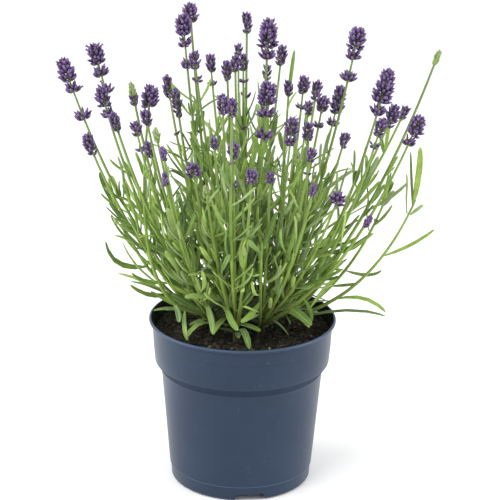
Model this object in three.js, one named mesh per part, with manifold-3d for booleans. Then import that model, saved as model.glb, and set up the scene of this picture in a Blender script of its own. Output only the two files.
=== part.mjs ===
// A potted lavender: leafy stems with flower spikes growing from the soil of a nursery pot.
// Millimetres, +Z up. The origin is the middle of the pot's underside, on the ground.
import * as THREE from 'three';
import { mergeVertices } from 'three/addons/utils/BufferGeometryUtils.js';
import Module from 'manifold-3d';

const wasm = await Module();
wasm.setup();

// Pot: a moulded plastic nursery pot, 130 mm across its rim
const RIM_RADIUS = 65;
const POT_HEIGHT = 118.5;
const LIP_OVERHANG = 2.3;
const LIP_HEIGHT = 2.4;
const COLLAR_TOP_RADIUS = RIM_RADIUS - LIP_OVERHANG;
const COLLAR_BOTTOM_RADIUS = 60.8;
const COLLAR_BOTTOM_Z = 87.8;
const BODY_TOP_RADIUS = 56.2;
const BODY_TOP_Z = 81.4;
const BODY_BOTTOM_RADIUS = 49.5;
const FOOT_LINE_Z = 10.7;
const FOOT_RADIUS = 46.2;
const FOOT_RING_WIDTH = 3;
const WALL = 1.1;
const FOOT_LINE_DEPTH = 0.5;
const LIP_ROUNDING = 1;
const FLOOR_UNDERSIDE_Z = 5.2;
const PAD_RADIUS = 14;
const POT_SIDES = 32;
const NOTCHES = 3;
const NOTCH_FIRST_ANGLE = -81.5;
const NOTCH_WIDTH_TOP = 18;
const NOTCH_WIDTH_BOTTOM = 23.5;
const NOTCH_DEPTH = 20;
const DRAIN_HOLES = 6;
const DRAIN_HOLE_RADIUS = 4.5;
const DRAIN_HOLE_RING = 30;

// Soil: peat, a little below the rim, with lumps
const GAP = 0.4;
const SOIL_Z = 109.5;
const SOIL_LUMP = 1.1;
const SOIL_RING_RADII = [51, 39, 26, 10];
const STEM_HOLE_RADIUS = 2.8;
const HOLE_SIDES = 6;
const STEM_HOLE_DEPTH = 15;

// Plant: ten rooted stems, closer together towards the front, where the plant is denser
const ROOTS = [
  [1, 2], [-4, -22], [12, -15], [-16, -15], [15, 4], [-11, 7], [-26, 0], [28, -4], [0, 23], [17, 20],
];
const TRUNK_RADIUS = 2.3;
const TRUNK_SIDES = 6;
const CROWN_Z = 129;
const TRUNK_BEND_Z = SOIL_Z + 3;
const BRANCHING_SHARE = 0.8;
const CROWN_SPREAD = 1.35;
const CANOPY_SPREAD = 4.2;

// Flower stalks: square in section, thinner towards the flowers
const STALK_HALF_WIDTH = 1.25;
const STALK_END_HALF_WIDTH = 0.85;
const STALK_STEPS = 3;
const PATH_STEPS = 24;
const STALK_TRIES = 40;
const STALK_SWING = 0.8;
const WALK = 2.5;
const STALK_BOW = { reach: 0.6, rise: 0.36 };
const SPIKE_GAP = 0.35;
const CLEARANCE = 0.8;

// Florets: rows up a spike, round a slimmer core
const ROW_PITCH = 4.6;
const CORE_SHARE = 0.6;
const FLORET_RISE = 1.5;
const WHORL_LENGTH = 6;
const WIDE_SPIKE = 12;

// Leaves: narrow, keeled and blunt, in opposite pairs that turn a quarter at each joint of the stem
const LEAF_LENGTH_LOW = 46;
const LEAF_LENGTH_HIGH = 27;
const LEAF_WIDTH = 5;
const LEAF_KEEL = 1.3;
const LEAF_STATIONS = [
  { at: 0.32, width: 0.95, keel: 1 },
  { at: 0.8, width: 0.9, keel: 0.8 },
];
const JOINT_HEIGHT = 2.8;
const LEAF_TRIES = 10;
const LEAF_WALK = 0.085;
const LEAF_CLEAR_RADIUS = 2;
const LOWEST_LEAF = 3.5;

// How far out from the middle leaves reach, as height and reach, and how much further a leaf may
// stand out from a stem that is out there itself
const OUTLINE = [
  [112, 50], [125, 58], [143, 68], [160, 82], [178, 90], [195, 97], [213, 103], [250, 108],
];
const OUTLINE_ALLOWANCE = 10;

// Flower spikes, left to right: tip x, y, z, length and width of the spike, and how far below
// its foot any whorl that stands apart on the stalk is
const SPIKES = [
  { tip: [-124, 5, 301], length: 18, width: 14, whorls: [5, 25] },
  { tip: [-105, 35, 304], length: 16, width: 14, whorls: [6, 18] },
  { tip: [-62, -25, 292], length: 16, width: 13, whorls: [] },
  { tip: [-97, -15, 287], length: 15, width: 11, whorls: [5] },
  { tip: [-88, -35, 276], length: 16, width: 8, whorls: [] },
  { tip: [-66, -45, 281], length: 13, width: 9, whorls: [] },
  { tip: [-72, -60, 277], length: 12, width: 8, whorls: [9] },
  { tip: [-107, -20, 256], length: 17, width: 9, whorls: [] },
  { tip: [-64, -36, 256], length: 13, width: 8, whorls: [] },
  { tip: [-39, 30, 335], length: 15, width: 12, whorls: [] },
  { tip: [-43, 5, 333], length: 16, width: 12, whorls: [5, 20] },
  { tip: [-35, -15, 313], length: 14, width: 9, whorls: [6] },
  { tip: [-26, 80, 286], length: 14, width: 9, whorls: [7] },
  { tip: [-13, -5, 304], length: 15, width: 8, whorls: [] },
  { tip: [-8, 70, 288], length: 13, width: 8, whorls: [] },
  { tip: [-6, 95, 290], length: 10, width: 7, whorls: [] },
  { tip: [-2, 25, 301], length: 13, width: 8, whorls: [6] },
  { tip: [0, 50, 324], length: 16, width: 8, whorls: [] },
  { tip: [15, 5, 331], length: 21, width: 16, whorls: [6] },
  { tip: [25, 70, 296], length: 16, width: 9, whorls: [] },
  { tip: [15, 95, 275], length: 12, width: 8, whorls: [] },
  { tip: [15, -30, 297], length: 18, width: 16, whorls: [6, 22] },
  { tip: [-15, -50, 294], length: 16, width: 9, whorls: [] },
  { tip: [-8, -85, 301], length: 14, width: 8, whorls: [] },
  { tip: [30, 45, 278], length: 13, width: 8, whorls: [] },
  { tip: [39, -15, 297], length: 14, width: 9, whorls: [8] },
  { tip: [51, 85, 267], length: 16, width: 9, whorls: [] },
  { tip: [53, 5, 278], length: 13, width: 10, whorls: [8] },
  { tip: [46, 105, 246], length: 13, width: 8, whorls: [] },
  { tip: [31, -50, 278], length: 13, width: 11, whorls: [5] },
  { tip: [42, -25, 268], length: 14, width: 9, whorls: [] },
  { tip: [-7, -75, 268], length: 13, width: 9, whorls: [18] },
  { tip: [-20, -60, 267], length: 10, width: 7, whorls: [] },
  { tip: [44, -65, 262], length: 12, width: 8, whorls: [] },
  { tip: [67, 65, 269], length: 22, width: 11, whorls: [6] },
  { tip: [68, -15, 258], length: 12, width: 8, whorls: [] },
  { tip: [76, 15, 323], length: 16, width: 14, whorls: [5, 20] },
  { tip: [96, -5, 300], length: 25, width: 17, whorls: [7] },
  { tip: [91, -40, 276], length: 15, width: 9, whorls: [6] },
  { tip: [105, 45, 261], length: 18, width: 11, whorls: [] },
  { tip: [114, 70, 253], length: 12, width: 8, whorls: [] },
  { tip: [117, -20, 272], length: 16, width: 12, whorls: [5] },
  { tip: [-56, 60, 276], length: 18, width: 9, whorls: [] },
  { tip: [-48, 5, 282], length: 22, width: 8, whorls: [] },
  { tip: [-34, -70, 252], length: 11, width: 11, whorls: [] },
  { tip: [5, -90, 255], length: 12, width: 9, whorls: [] },
  { tip: [17, -60, 244], length: 10, width: 7, whorls: [] },
  { tip: [63, -60, 230], length: 10, width: 12, whorls: [] },
];

// Spikes whose stalk grows its own way, by place in the list, counted from 0: it swings out at its foot
// before it rises, or it has no pair of leaves
const HABITS = {
  2: { reach: 1.5, rise: -0.04 },
  7: { pairs: 0 },
  30: { reach: 1.1, rise: 0.1 },
  38: { pairs: 0 },
  40: { pairs: 0 },
  41: { pairs: 0 },
};

// Green buds that have not coloured yet, part of their stem: tip x, y, z
const BUDS = [
  [-78, 10, 284], [-58, -70, 276], [131, 20, 307], [-52, -80, 249], [-25, -75, 239],
  [-53, -85, 268], [36, -40, 252], [46, -70, 240], [85, -50, 212],
];
const BUD = { length: 9, width: 6 };

// Leafy shoots with no flower: tip x, y, z, and how far out and how high the middle of each is pulled
const SHOOTS = [
  { tip: [116, -20, 214], reach: 0.68, rise: 0.2, pairs: 2 },
  { tip: [102, 15, 216], reach: 0.7, rise: 0.25, pairs: 1 },
  { tip: [72, -34, 190], reach: 0.6, rise: 0.3, pairs: 1 },
  { tip: [-76, -25, 196], reach: 0.6, rise: 0.3, pairs: 3 },
  { tip: [-92, 10, 206], reach: 0.7, rise: 0.25, pairs: 2 },
  { tip: [-50, -48, 192], reach: 0.6, rise: 0.35, pairs: 3 },
  { tip: [-20, -58, 208], reach: 0.6, rise: 0.4, pairs: 3 },
  { tip: [12, -62, 196], reach: 0.6, rise: 0.4, pairs: 3 },
  { tip: [42, -52, 210], reach: 0.6, rise: 0.4, pairs: 3 },
  { tip: [86, 6, 226], reach: 0.6, rise: 0.35, pairs: 2 },
  { tip: [-36, 58, 204], reach: 0.6, rise: 0.4, pairs: 3 },
  { tip: [12, 68, 198], reach: 0.6, rise: 0.4, pairs: 3 },
  { tip: [56, 56, 202], reach: 0.6, rise: 0.4, pairs: 3 },
  { tip: [-74, 44, 190], reach: 0.6, rise: 0.3, pairs: 3 },
];

// Long leaves that arch out from a crown and droop: tip x, y, z
const ARCHED_LEAVES = [
  [5, -54, 116], [-38, -34, 115], [-20, -36, 119], [46, -20, 119], [98, -20, 128], [-77, -8, 146],
  [-30, 44, 117], [25, 47, 117], [-88, 24, 140], [64, 42, 128],
];
const ARCHED_LEAF_LIFT = 14;
const ARCHED_LEAF_STATIONS = [
  { at: 0, width: 0.5 }, { at: 0.35, width: 0.9 }, { at: 0.6, width: 1 }, { at: 0.85, width: 0.9 },
];

const SEED = 20445;

// Colours and finishes
const MATERIALS = {
  pot: new THREE.MeshStandardMaterial({ color: 0x526272, roughness: 0.42, metalness: 0 }),
  soil: new THREE.MeshStandardMaterial({ color: 0x2b251d, roughness: 1, metalness: 0 }),
  leaf: new THREE.MeshStandardMaterial({ color: 0x6f9a4c, roughness: 0.7, metalness: 0 }),
  flower: new THREE.MeshStandardMaterial({ color: 0x5a3f86, roughness: 0.8, metalness: 0 }),
};

const UP = new THREE.Vector3(0, 0, 1);
const vec = (x, y, z) => new THREE.Vector3(x, y, z);
const radians = THREE.MathUtils.degToRad;

// Seeded draws, the same on every run
function drawsFrom(seed) {
  let state = seed;
  return (low, high) => {
    state = (state * 16807) % 2147483647;
    return low + (high - low) * (state / 2147483647);
  };
}

// A solid from points and triangles
function solidOfFaces(points, faces) {
  const vertProperties = new Float32Array(points.flatMap((p) => [p.x, p.y, p.z]));
  const triVerts = new Uint32Array(faces.flat());
  return new wasm.Manifold(new wasm.Mesh({ numProp: 3, vertProperties, triVerts }));
}

// A solid from one of the library's geometries, with its seams closed
function solidOf(geometry) {
  geometry.deleteAttribute('normal');
  geometry.deleteAttribute('uv');
  const merged = mergeVertices(geometry, 1e-4);
  const place = merged.getAttribute('position');
  const points = Array.from({ length: place.count }, (_, i) => vec().fromBufferAttribute(place, i));
  const faces = [];
  for (let i = 0; i < merged.index.count; i += 3) {
    const face = [0, 1, 2].map((k) => merged.index.getX(i + k));
    if (new Set(face).size === 3) faces.push(face);
  }
  return solidOfFaces(points, faces);
}

// A skin that is put together ring by ring
function newSkin() {
  const points = [];
  const faces = [];
  const add = (point) => points.push(point) - 1;
  return {
    faces,
    add,
    addRing: (ring) => ring.map(add),
    solid: () => solidOfFaces(points, faces),
  };
}

// Closes a ring with flat faces, looking back along the ring's axis or forward
function closeRing(skin, ring, forward) {
  for (let i = 1; i < ring.length - 1; i++) {
    skin.faces.push(forward ? [ring[0], ring[i], ring[i + 1]] : [ring[0], ring[i + 1], ring[i]]);
  }
}

// Closes a ring to a point ahead of it
function closeToPoint(skin, ring, tip) {
  ring.forEach((corner, i) => skin.faces.push([corner, ring[(i + 1) % ring.length], tip]));
}

// Walls between two rings of the same turn, apart from those sides that something grows out of
function addWalls(skin, low, high, open = []) {
  low.forEach((a, i) => {
    if (open.includes(i)) return;
    const j = (i + 1) % low.length;
    skin.faces.push([a, low[j], high[j]], [a, high[j], high[i]]);
  });
}

// Walls between rings that are each turned half a side from the last. Over every edge of a ring
// that carries florets, the two triangles that meet there are raised to the floret's tip.
function addStaggered(skin, rings, tips) {
  const corner = (k, i) => rings[k][i % rings[k].length];
  rings.forEach((ring, k) => {
    ring.forEach((left, i) => {
      const right = corner(k, i + 1);
      const beside = i + (k % 2);
      const low = k > 0 ? corner(k - 1, beside) : null;
      const high = k < rings.length - 1 ? corner(k + 1, beside) : null;
      if (tips[k]) {
        const tip = tips[k][i];
        skin.faces.push([low, right, tip], [right, high, tip], [high, left, tip], [left, low, tip]);
        return;
      }
      if (low !== null) skin.faces.push([low, right, left]);
      if (high !== null) skin.faces.push([left, right, high]);
    });
  });
}

// Two directions square to an axis, the first near a guide, which turn left about the axis
function across(axis, guide) {
  const first = guide.clone().addScaledVector(axis, -guide.dot(axis)).normalize();
  return [first, vec().crossVectors(axis, first)];
}

// A ring of points round a centre, square to an axis
function ringAt(centre, axis, guide, radius, sides, turn) {
  const [e1, e2] = across(axis, guide);
  return Array.from({ length: sides }, (_, i) => {
    const angle = turn + (i * 2 * Math.PI) / sides;
    const out = e1.clone().multiplyScalar(Math.cos(angle)).addScaledVector(e2, Math.sin(angle));
    return centre.clone().addScaledVector(out, radius);
  });
}

// A smooth path through a start, a pull and an end, walked by distance
function pathOf(start, pull, end) {
  const curve = new THREE.QuadraticBezierCurve3(start, pull, end);
  const points = curve.getPoints(PATH_STEPS);
  const marks = [0];
  for (let i = 1; i < points.length; i++) marks.push(marks[i - 1] + points[i].distanceTo(points[i - 1]));
  const length = marks[PATH_STEPS];
  const step = (distance) => {
    const held = Math.min(Math.max(distance, 0), length - 1e-9);
    return marks.findIndex((mark, i) => held >= mark && held < marks[i + 1]);
  };
  return {
    length,
    at(distance) {
      const i = step(distance);
      return points[i].clone().lerp(points[i + 1], (distance - marks[i]) / (marks[i + 1] - marks[i]));
    },
    direction(distance) {
      const i = step(distance);
      return points[i + 1].clone().sub(points[i]).normalize();
    },
  };
}

// The pot's inner wall, from its floor up to the lip
function innerWall() {
  return [
    [BODY_BOTTOM_RADIUS - WALL - 0.6, FLOOR_UNDERSIDE_Z + WALL],
    [BODY_TOP_RADIUS - WALL, BODY_TOP_Z + WALL / 2],
    [COLLAR_BOTTOM_RADIUS - WALL, COLLAR_BOTTOM_Z + WALL / 2],
    [COLLAR_TOP_RADIUS - WALL, POT_HEIGHT - LIP_HEIGHT],
  ];
}

// The pot's outline, up the outside and down the inside
function potOutline() {
  const lipFoot = POT_HEIGHT - LIP_HEIGHT;
  const footInside = FOOT_RADIUS - FOOT_RING_WIDTH;
  return [
    [0, 0], [PAD_RADIUS + 1, 0], [PAD_RADIUS + 3, FLOOR_UNDERSIDE_Z],
    [footInside - 2, FLOOR_UNDERSIDE_Z], [footInside, 0], [FOOT_RADIUS, 0], [FOOT_RADIUS + 2.2, 2],
    [BODY_BOTTOM_RADIUS, FOOT_LINE_Z - FOOT_LINE_DEPTH],
    [BODY_BOTTOM_RADIUS + FOOT_LINE_DEPTH, FOOT_LINE_Z], [BODY_TOP_RADIUS, BODY_TOP_Z],
    [COLLAR_BOTTOM_RADIUS, COLLAR_BOTTOM_Z], [COLLAR_TOP_RADIUS, lipFoot],
    [RIM_RADIUS, lipFoot + LIP_ROUNDING], [RIM_RADIUS, POT_HEIGHT - LIP_ROUNDING],
    [RIM_RADIUS - LIP_ROUNDING, POT_HEIGHT], [RIM_RADIUS - 2 * LIP_ROUNDING, POT_HEIGHT - 0.4],
    ...innerWall().reverse(),
    [PAD_RADIUS + 2, FLOOR_UNDERSIDE_Z + WALL], [PAD_RADIUS, WALL], [0, WALL],
  ];
}

// A shape turned round the upright axis
function spin(outline, relief) {
  const profile = outline.map(([r, z]) => new THREE.Vector2(r, z));
  const geometry = new THREE.LatheGeometry(profile, POT_SIDES);
  geometry.rotateX(Math.PI / 2);
  if (relief) relief(geometry.getAttribute('position'));
  return solidOf(geometry);
}

// A drain notch through the foot ring, wider at the ground
function notchAt(angle) {
  const [half, halfTop] = [NOTCH_WIDTH_BOTTOM / 2, NOTCH_WIDTH_TOP / 2];
  const corners = [[-half, -1], [half, -1], [halfTop, FLOOR_UNDERSIDE_Z], [-halfTop, FLOOR_UNDERSIDE_Z]];
  const outline = new THREE.Shape(corners.map(([x, y]) => new THREE.Vector2(x, y)));
  const block = new THREE.ExtrudeGeometry(outline, { depth: NOTCH_DEPTH, bevelEnabled: false });
  block.translate(0, 0, BODY_BOTTOM_RADIUS - NOTCH_DEPTH * 0.7);
  const outward = vec(Math.cos(angle), Math.sin(angle), 0);
  block.applyMatrix4(new THREE.Matrix4().makeBasis(vec().crossVectors(UP, outward), UP, outward));
  return solidOf(block);
}

// A round hole, plain right through
function holeAt(x, y, z, radius, depth) {
  const drill = new THREE.CylinderGeometry(radius, radius, depth, HOLE_SIDES);
  drill.rotateX(Math.PI / 2);
  drill.translate(x, y, z);
  return solidOf(drill);
}

function makePot() {
  let pot = spin(potOutline());
  for (let i = 0; i < NOTCHES; i++) {
    pot = pot.subtract(notchAt(radians(NOTCH_FIRST_ANGLE + (i * 360) / NOTCHES)));
  }
  for (let i = 0; i < DRAIN_HOLES; i++) {
    const angle = radians(NOTCH_FIRST_ANGLE + (i * 360) / DRAIN_HOLES);
    const [x, y] = [DRAIN_HOLE_RING * Math.cos(angle), DRAIN_HOLE_RING * Math.sin(angle)];
    pot = pot.subtract(holeAt(x, y, FLOOR_UNDERSIDE_Z, DRAIN_HOLE_RADIUS, 8));
  }
  return pot;
}

// Height of the soil's lumps over its mean
function soilLump(x, y) {
  const broad = Math.sin(x * 0.13 + 1.1) * Math.cos(y * 0.11 - 0.4);
  const fine = Math.sin(x * 0.41 + y * 0.23) * Math.sin(y * 0.37 - x * 0.19 + 2);
  return SOIL_LUMP * (broad + 0.8 * fine);
}

function makeSoil() {
  const [foot, ...wall] = innerWall();
  const wallTop = wall.pop();
  const wallStep = wall[wall.length - 1];
  const full = (SOIL_Z - wallStep[1]) / (wallTop[1] - wallStep[1]);
  const brim = THREE.MathUtils.lerp(wallStep[0], wallTop[0], full) - GAP;
  const outline = [
    [0, WALL + GAP], [PAD_RADIUS - GAP, WALL + GAP], [PAD_RADIUS + 1.5, foot[1] + GAP],
    [foot[0] - GAP, foot[1] + GAP], ...wall.map(([r, z]) => [r - GAP, z]),
    [brim, SOIL_Z], ...SOIL_RING_RADII.map((r) => [r, SOIL_Z]), [0, SOIL_Z],
  ];
  const edge = SOIL_RING_RADII[0];
  let soil = spin(outline, (place) => {
    for (let i = 0; i < place.count; i++) {
      const [x, y, z] = [place.getX(i), place.getY(i), place.getZ(i)];
      if (Math.abs(z - SOIL_Z) > 0.01 || Math.hypot(x, y) > edge + 0.01) continue;
      place.setZ(i, z + soilLump(x, y));
    }
  });
  for (const [x, y] of ROOTS) {
    soil = soil.subtract(holeAt(x, y, SOIL_Z, STEM_HOLE_RADIUS, STEM_HOLE_DEPTH * 2));
  }
  return soil;
}

// The space that is already taken, as balls along each thing
const taken = [];

function takePath(path, from, radius, label) {
  for (let d = from; d <= path.length; d += WALK) taken.push({ place: path.at(d), radius, ...label });
}

// Whether a ball at a place is clear of all that is taken. A share under 1 lets it come closer to
// some things, and a share of 0 lets it pass through them.
function isClear(place, radius, shareFor) {
  return taken.every((ball) => {
    const share = shareFor(ball);
    return share === 0 || ball.place.distanceTo(place) > (ball.radius + radius) * share + CLEARANCE;
  });
}

const plants = ROOTS.map(([x, y], index) => ({
  index,
  root: vec(x, y, TRUNK_BEND_Z),
  crown: vec(x * CROWN_SPREAD, y * CROWN_SPREAD, CROWN_Z),
  canopy: vec(x * CANOPY_SPREAD, y * CANOPY_SPREAD, 0),
}));

// The plant whose part of the canopy a tip belongs to
function plantUnder(tip) {
  const reach = ({ canopy }) => Math.hypot(canopy.x - tip.x, canopy.y - tip.y);
  return plants.reduce((best, plant) => (reach(plant) < reach(best) ? plant : best));
}

// All stems, each with its plant and its share of that plant's height of branching
function listStems() {
  const usual = { ...STALK_BOW, lift: 0, offset: 0.6, pairs: 1 };
  const stems = [
    ...SPIKES.map((spike, i) => ({ ...usual, kind: 'flower', tip: spike.tip, spike, ...HABITS[i] })),
    ...BUDS.map((tip) => ({ ...usual, kind: 'bud', tip })),
    ...SHOOTS.map((shoot) => ({ ...usual, kind: 'shoot', ...shoot })),
    ...ARCHED_LEAVES.map((tip) => (
      { ...usual, kind: 'arched', tip, lift: ARCHED_LEAF_LIFT, offset: 0.2, pairs: 0 }
    )),
  ].map((stem, index) => ({ ...stem, index, tip: vec(...stem.tip) }));
  for (const stem of stems) stem.plant = plantUnder(stem.tip);
  for (const plant of plants) {
    const own = stems.filter((stem) => stem.plant === plant);
    own.forEach((stem, i) => { stem.share = (i + 0.5) / own.length; });
  }
  return stems;
}

// A stem's path from its trunk to its tip, bowed a little more or less until it clears the others
function growStem(stem, draw) {
  const { crown, root, canopy, index } = stem.plant;
  const outward = vec(stem.tip.x - crown.x, stem.tip.y - crown.y, 0).normalize();
  const apart = vec(stem.tip.x - canopy.x, stem.tip.y - canopy.y, 0).normalize();
  const start = crown.clone().lerp(root, BRANCHING_SHARE * stem.share);
  start.addScaledVector(apart, TRUNK_RADIUS * stem.offset);
  stem.guide = vec().crossVectors(UP, outward);
  stem.turn = draw(0, Math.PI / 2);
  const ownWood = (ball) => ball.plant === index && ball.kind !== 'spike';
  const shareFor = (ball) => (ownWood(ball) || ball.stem === stem.index ? 0 : 1);
  const radius = STALK_HALF_WIDTH * 1.2;
  for (let attempt = 0; attempt < STALK_TRIES; attempt++) {
    const swing = STALK_SWING * attempt;
    stem.path = pathOf(start, vec(
      start.x + (stem.tip.x - start.x) * stem.reach + draw(-swing, swing),
      start.y + (stem.tip.y - start.y) * stem.reach + draw(-swing, swing),
      start.z + (stem.tip.z - start.z) * stem.rise + stem.lift,
    ), stem.tip);
    const steps = Math.ceil(stem.path.length / WALK);
    const places = Array.from({ length: steps }, (_, i) => stem.path.at(i * WALK));
    if (places.every((place) => isClear(place, radius, shareFor))) break;
  }
  takePath(stem.path, 0, radius, { plant: index, stem: stem.index, kind: 'stalk' });
}

// Whether a ball stays over the soil and the rim
function isClearOfPot(place, radius) {
  if (place.z > POT_HEIGHT + radius + 0.5) return true;
  const out = Math.hypot(place.x, place.y);
  return place.z > SOIL_Z + LOWEST_LEAF && out < COLLAR_TOP_RADIUS - WALL - 2 * radius;
}

// How far out leaves reach at a height
function outlineAt(z) {
  const above = OUTLINE.findIndex(([height]) => height > z);
  if (above < 1) return OUTLINE[above < 0 ? OUTLINE.length - 1 : 0][1];
  const [[z0, r0], [z1, r1]] = [OUTLINE[above - 1], OUTLINE[above]];
  return THREE.MathUtils.mapLinear(z, z0, z1, r0, r1);
}

// Whether a place on a leaf keeps within the outline, or near to the leaf's own root
function isWithinOutline(place, root) {
  const near = Math.hypot(root.x, root.y) + OUTLINE_ALLOWANCE;
  return Math.hypot(place.x, place.y) < Math.max(outlineAt(place.z), near);
}

// A point along the middle of a leaf, which bends towards its upper face or away from it
function leafPoint(leaf, t) {
  const bend = leaf.bend * leaf.length * t * t;
  return leaf.root.clone().addScaledVector(leaf.way, leaf.length * t).addScaledVector(leaf.face, bend);
}

// One leaf on one side of a stem, tried at several angles until it is clear of everything else
function growLeaf(stem, distance, side, draw) {
  const along = stem.path.direction(distance);
  const [e1, e2] = across(along, stem.guide);
  const toward = (angle) => e1.clone().multiplyScalar(Math.cos(angle)).addScaledVector(e2, Math.sin(angle));
  const middle = stem.turn + ((side + 0.5) * Math.PI) / 2;
  const root = stem.path.at(distance).addScaledVector(toward(middle), STALK_HALF_WIDTH);
  const shareUp = distance / stem.path.length;
  const label = { plant: stem.plant.index, stem: stem.index, kind: 'leaf' };
  for (let attempt = 0; attempt < LEAF_TRIES; attempt++) {
    const out = toward(middle + draw(-0.14, 0.14) * (1 + attempt));
    const open = draw(0.4, 0.75) + (1 - shareUp) * 0.25;
    const leaf = {
      side,
      root,
      way: along.clone().multiplyScalar(Math.cos(open)).addScaledVector(out, Math.sin(open)),
      face: along.clone().multiplyScalar(Math.sin(open)).addScaledVector(out, -Math.cos(open)),
      bend: draw(0, 0.3),
      width: LEAF_WIDTH * draw(0.85, 1.1),
      length: THREE.MathUtils.lerp(LEAF_LENGTH_LOW, LEAF_LENGTH_HIGH, shareUp) * draw(0.85, 1.12),
    };
    leaf.length *= 1 - 0.06 * attempt;
    const marks = Array.from({ length: 11 }, (_, i) => 0.15 + i * LEAF_WALK);
    const clear = marks.every((t) => isClearOfPot(leafPoint(leaf, t), LEAF_CLEAR_RADIUS)
      && isWithinOutline(leafPoint(leaf, t), root)
      && isClear(leafPoint(leaf, t), LEAF_CLEAR_RADIUS, (ball) => {
        if (ball.stem === stem.index && t < 0.35) return 0;
        return ball.plant === label.plant && ball.kind !== 'spike' ? 0.9 : 1;
      }));
    if (!clear) continue;
    for (const t of marks) taken.push({ place: leafPoint(leaf, t), radius: LEAF_CLEAR_RADIUS, ...label });
    return leaf;
  }
  return null;
}

// The joints of one stem, each with up to two leaves on opposite sides
function growJoints(stem, draw) {
  const first = draw(12, 22);
  const last = stem.path.length * (stem.kind === 'shoot' ? 0.9 : 0.45);
  const start = Math.round(draw(0, 1));
  return Array.from({ length: stem.pairs }, (_, i) => {
    const share = stem.pairs > 1 ? i / (stem.pairs - 1) : draw(0.2, 1);
    const distance = first + (last - first) * share;
    const side = (start + i) % 2;
    const leaves = [side, side + 2].map((one) => growLeaf(stem, distance, one, draw));
    return { distance, leaves: leaves.filter(Boolean) };
  });
}

// The foot of everything that a flower spike holds, as a distance along its stem
function spikeFoot(stem) {
  const { length, whorls } = stem.spike;
  const hang = whorls.length ? whorls[whorls.length - 1] + WHORL_LENGTH / 2 + 1 : 1;
  return stem.path.length - length - hang;
}

// How full a spike is, from its foot to its tip
const fullness = (t) => 0.5 + 0.5 * Math.sin(Math.PI * Math.min(1, 0.16 + 0.8 * t));

// The rings of a body of florets along a stem: distance, radius, and how far its florets reach
function floretRings(foot, length, width) {
  const rows = Math.max(2, Math.round(length / ROW_PITCH));
  const core = (width / 2) * CORE_SHARE;
  return Array.from({ length: rows + 1 }, (_, k) => {
    const t = 0.05 + (0.87 * k) / rows;
    const reach = k < rows ? (width / 2) * fullness(t) : 0;
    return { distance: foot + length * t, radius: core * fullness(t), reach };
  });
}

// Adds a run of staggered rings up to a stem's tip, from a ring that is there already if one is given
function addFlorets(skin, stem, marks, sides, turn, first) {
  const step = (2 * Math.PI) / sides;
  const tips = [];
  const rings = marks.map(({ distance, radius, reach }, k) => {
    if (k === 0 && first) return first;
    const centre = stem.path.at(distance);
    const axis = stem.path.direction(distance);
    const shift = turn + ((k % 2) / 2) * step;
    if (reach) {
      const raised = centre.clone().addScaledVector(axis, FLORET_RISE);
      tips[k] = skin.addRing(ringAt(raised, axis, stem.guide, reach, sides, shift + step / 2));
    }
    return skin.addRing(ringAt(centre, axis, stem.guide, radius, sides, shift));
  });
  addStaggered(skin, rings, tips);
  closeToPoint(skin, rings[rings.length - 1], skin.add(stem.path.at(stem.path.length)));
  return rings;
}

// A flower spike with the whorls that stand below it, on the end of its stalk
function makeSpike(stem, draw) {
  const { length, width, whorls } = stem.spike;
  const foot = stem.path.length - length;
  const wide = width > WIDE_SPIKE;
  const bare = (distance) => ({ distance, radius: STALK_END_HALF_WIDTH });
  const marks = [bare(spikeFoot(stem))];
  for (const drop of [...whorls].reverse()) {
    const low = foot - drop - WHORL_LENGTH / 2;
    const rows = floretRings(low, WHORL_LENGTH, Math.max(7.5, width * 0.75)).slice(0, wide ? 2 : 1);
    marks.push(bare(low), ...rows, bare(low + WHORL_LENGTH));
  }
  marks.push(bare(foot), ...floretRings(foot, length, width));
  const skin = newSkin();
  const rings = addFlorets(skin, stem, marks, wide ? 6 : 5, draw(0, 6));
  closeRing(skin, rings[0], false);
  return skin.solid();
}

// The woody foot of a plant, upright in its hole and then leaning out to its crown
function makeTrunk({ root, crown }) {
  const skin = newSkin();
  const ring = (place, radius) => (
    skin.addRing(ringAt(place, UP, vec(1, 0, 0), radius, TRUNK_SIDES, Math.PI / 2))
  );
  const foot = ring(root.clone().setZ(SOIL_Z - STEM_HOLE_DEPTH + 1), TRUNK_RADIUS);
  const bend = ring(root, TRUNK_RADIUS);
  const top = ring(crown.clone().setZ(CROWN_Z + 2), TRUNK_RADIUS * 0.8);
  closeRing(skin, foot, false);
  addWalls(skin, foot, bend);
  addWalls(skin, bend, top);
  closeRing(skin, top, true);
  return skin.solid();
}

// Adds a ring of three points across a blade: its keel and its two edges
function addBladeRing(skin, centre, right, way, half, keel) {
  const face = vec().crossVectors(way, right);
  return skin.addRing([
    centre.clone().addScaledVector(face, -keel),
    centre.clone().addScaledVector(right, half),
    centre.clone().addScaledVector(right, -half),
  ]);
}

// A leaf that grows out of one side of its stem, between two of the stem's rings
function addLeaf(skin, leaf, low, high) {
  const next = (leaf.side + 1) % 4;
  const [a, b, c, d] = [low[leaf.side], low[next], high[next], high[leaf.side]];
  const right = vec().crossVectors(leaf.face, leaf.way).normalize();
  const rings = LEAF_STATIONS.map(({ at, width, keel }) => {
    const centre = leafPoint(leaf, at);
    const way = leafPoint(leaf, at + 0.01).sub(centre).normalize();
    return addBladeRing(skin, centre, right, way, (leaf.width * width) / 2, LEAF_KEEL * keel);
  });
  const [keel, rightEdge, leftEdge] = rings[0];
  skin.faces.push([a, b, keel], [b, c, rightEdge], [b, rightEdge, keel]);
  skin.faces.push([c, d, leftEdge], [c, leftEdge, rightEdge], [d, a, keel], [d, keel, leftEdge]);
  for (let k = 0; k < rings.length - 1; k++) addWalls(skin, rings[k], rings[k + 1]);
  closeToPoint(skin, rings[rings.length - 1], skin.add(leafPoint(leaf, 1)));
}

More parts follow.
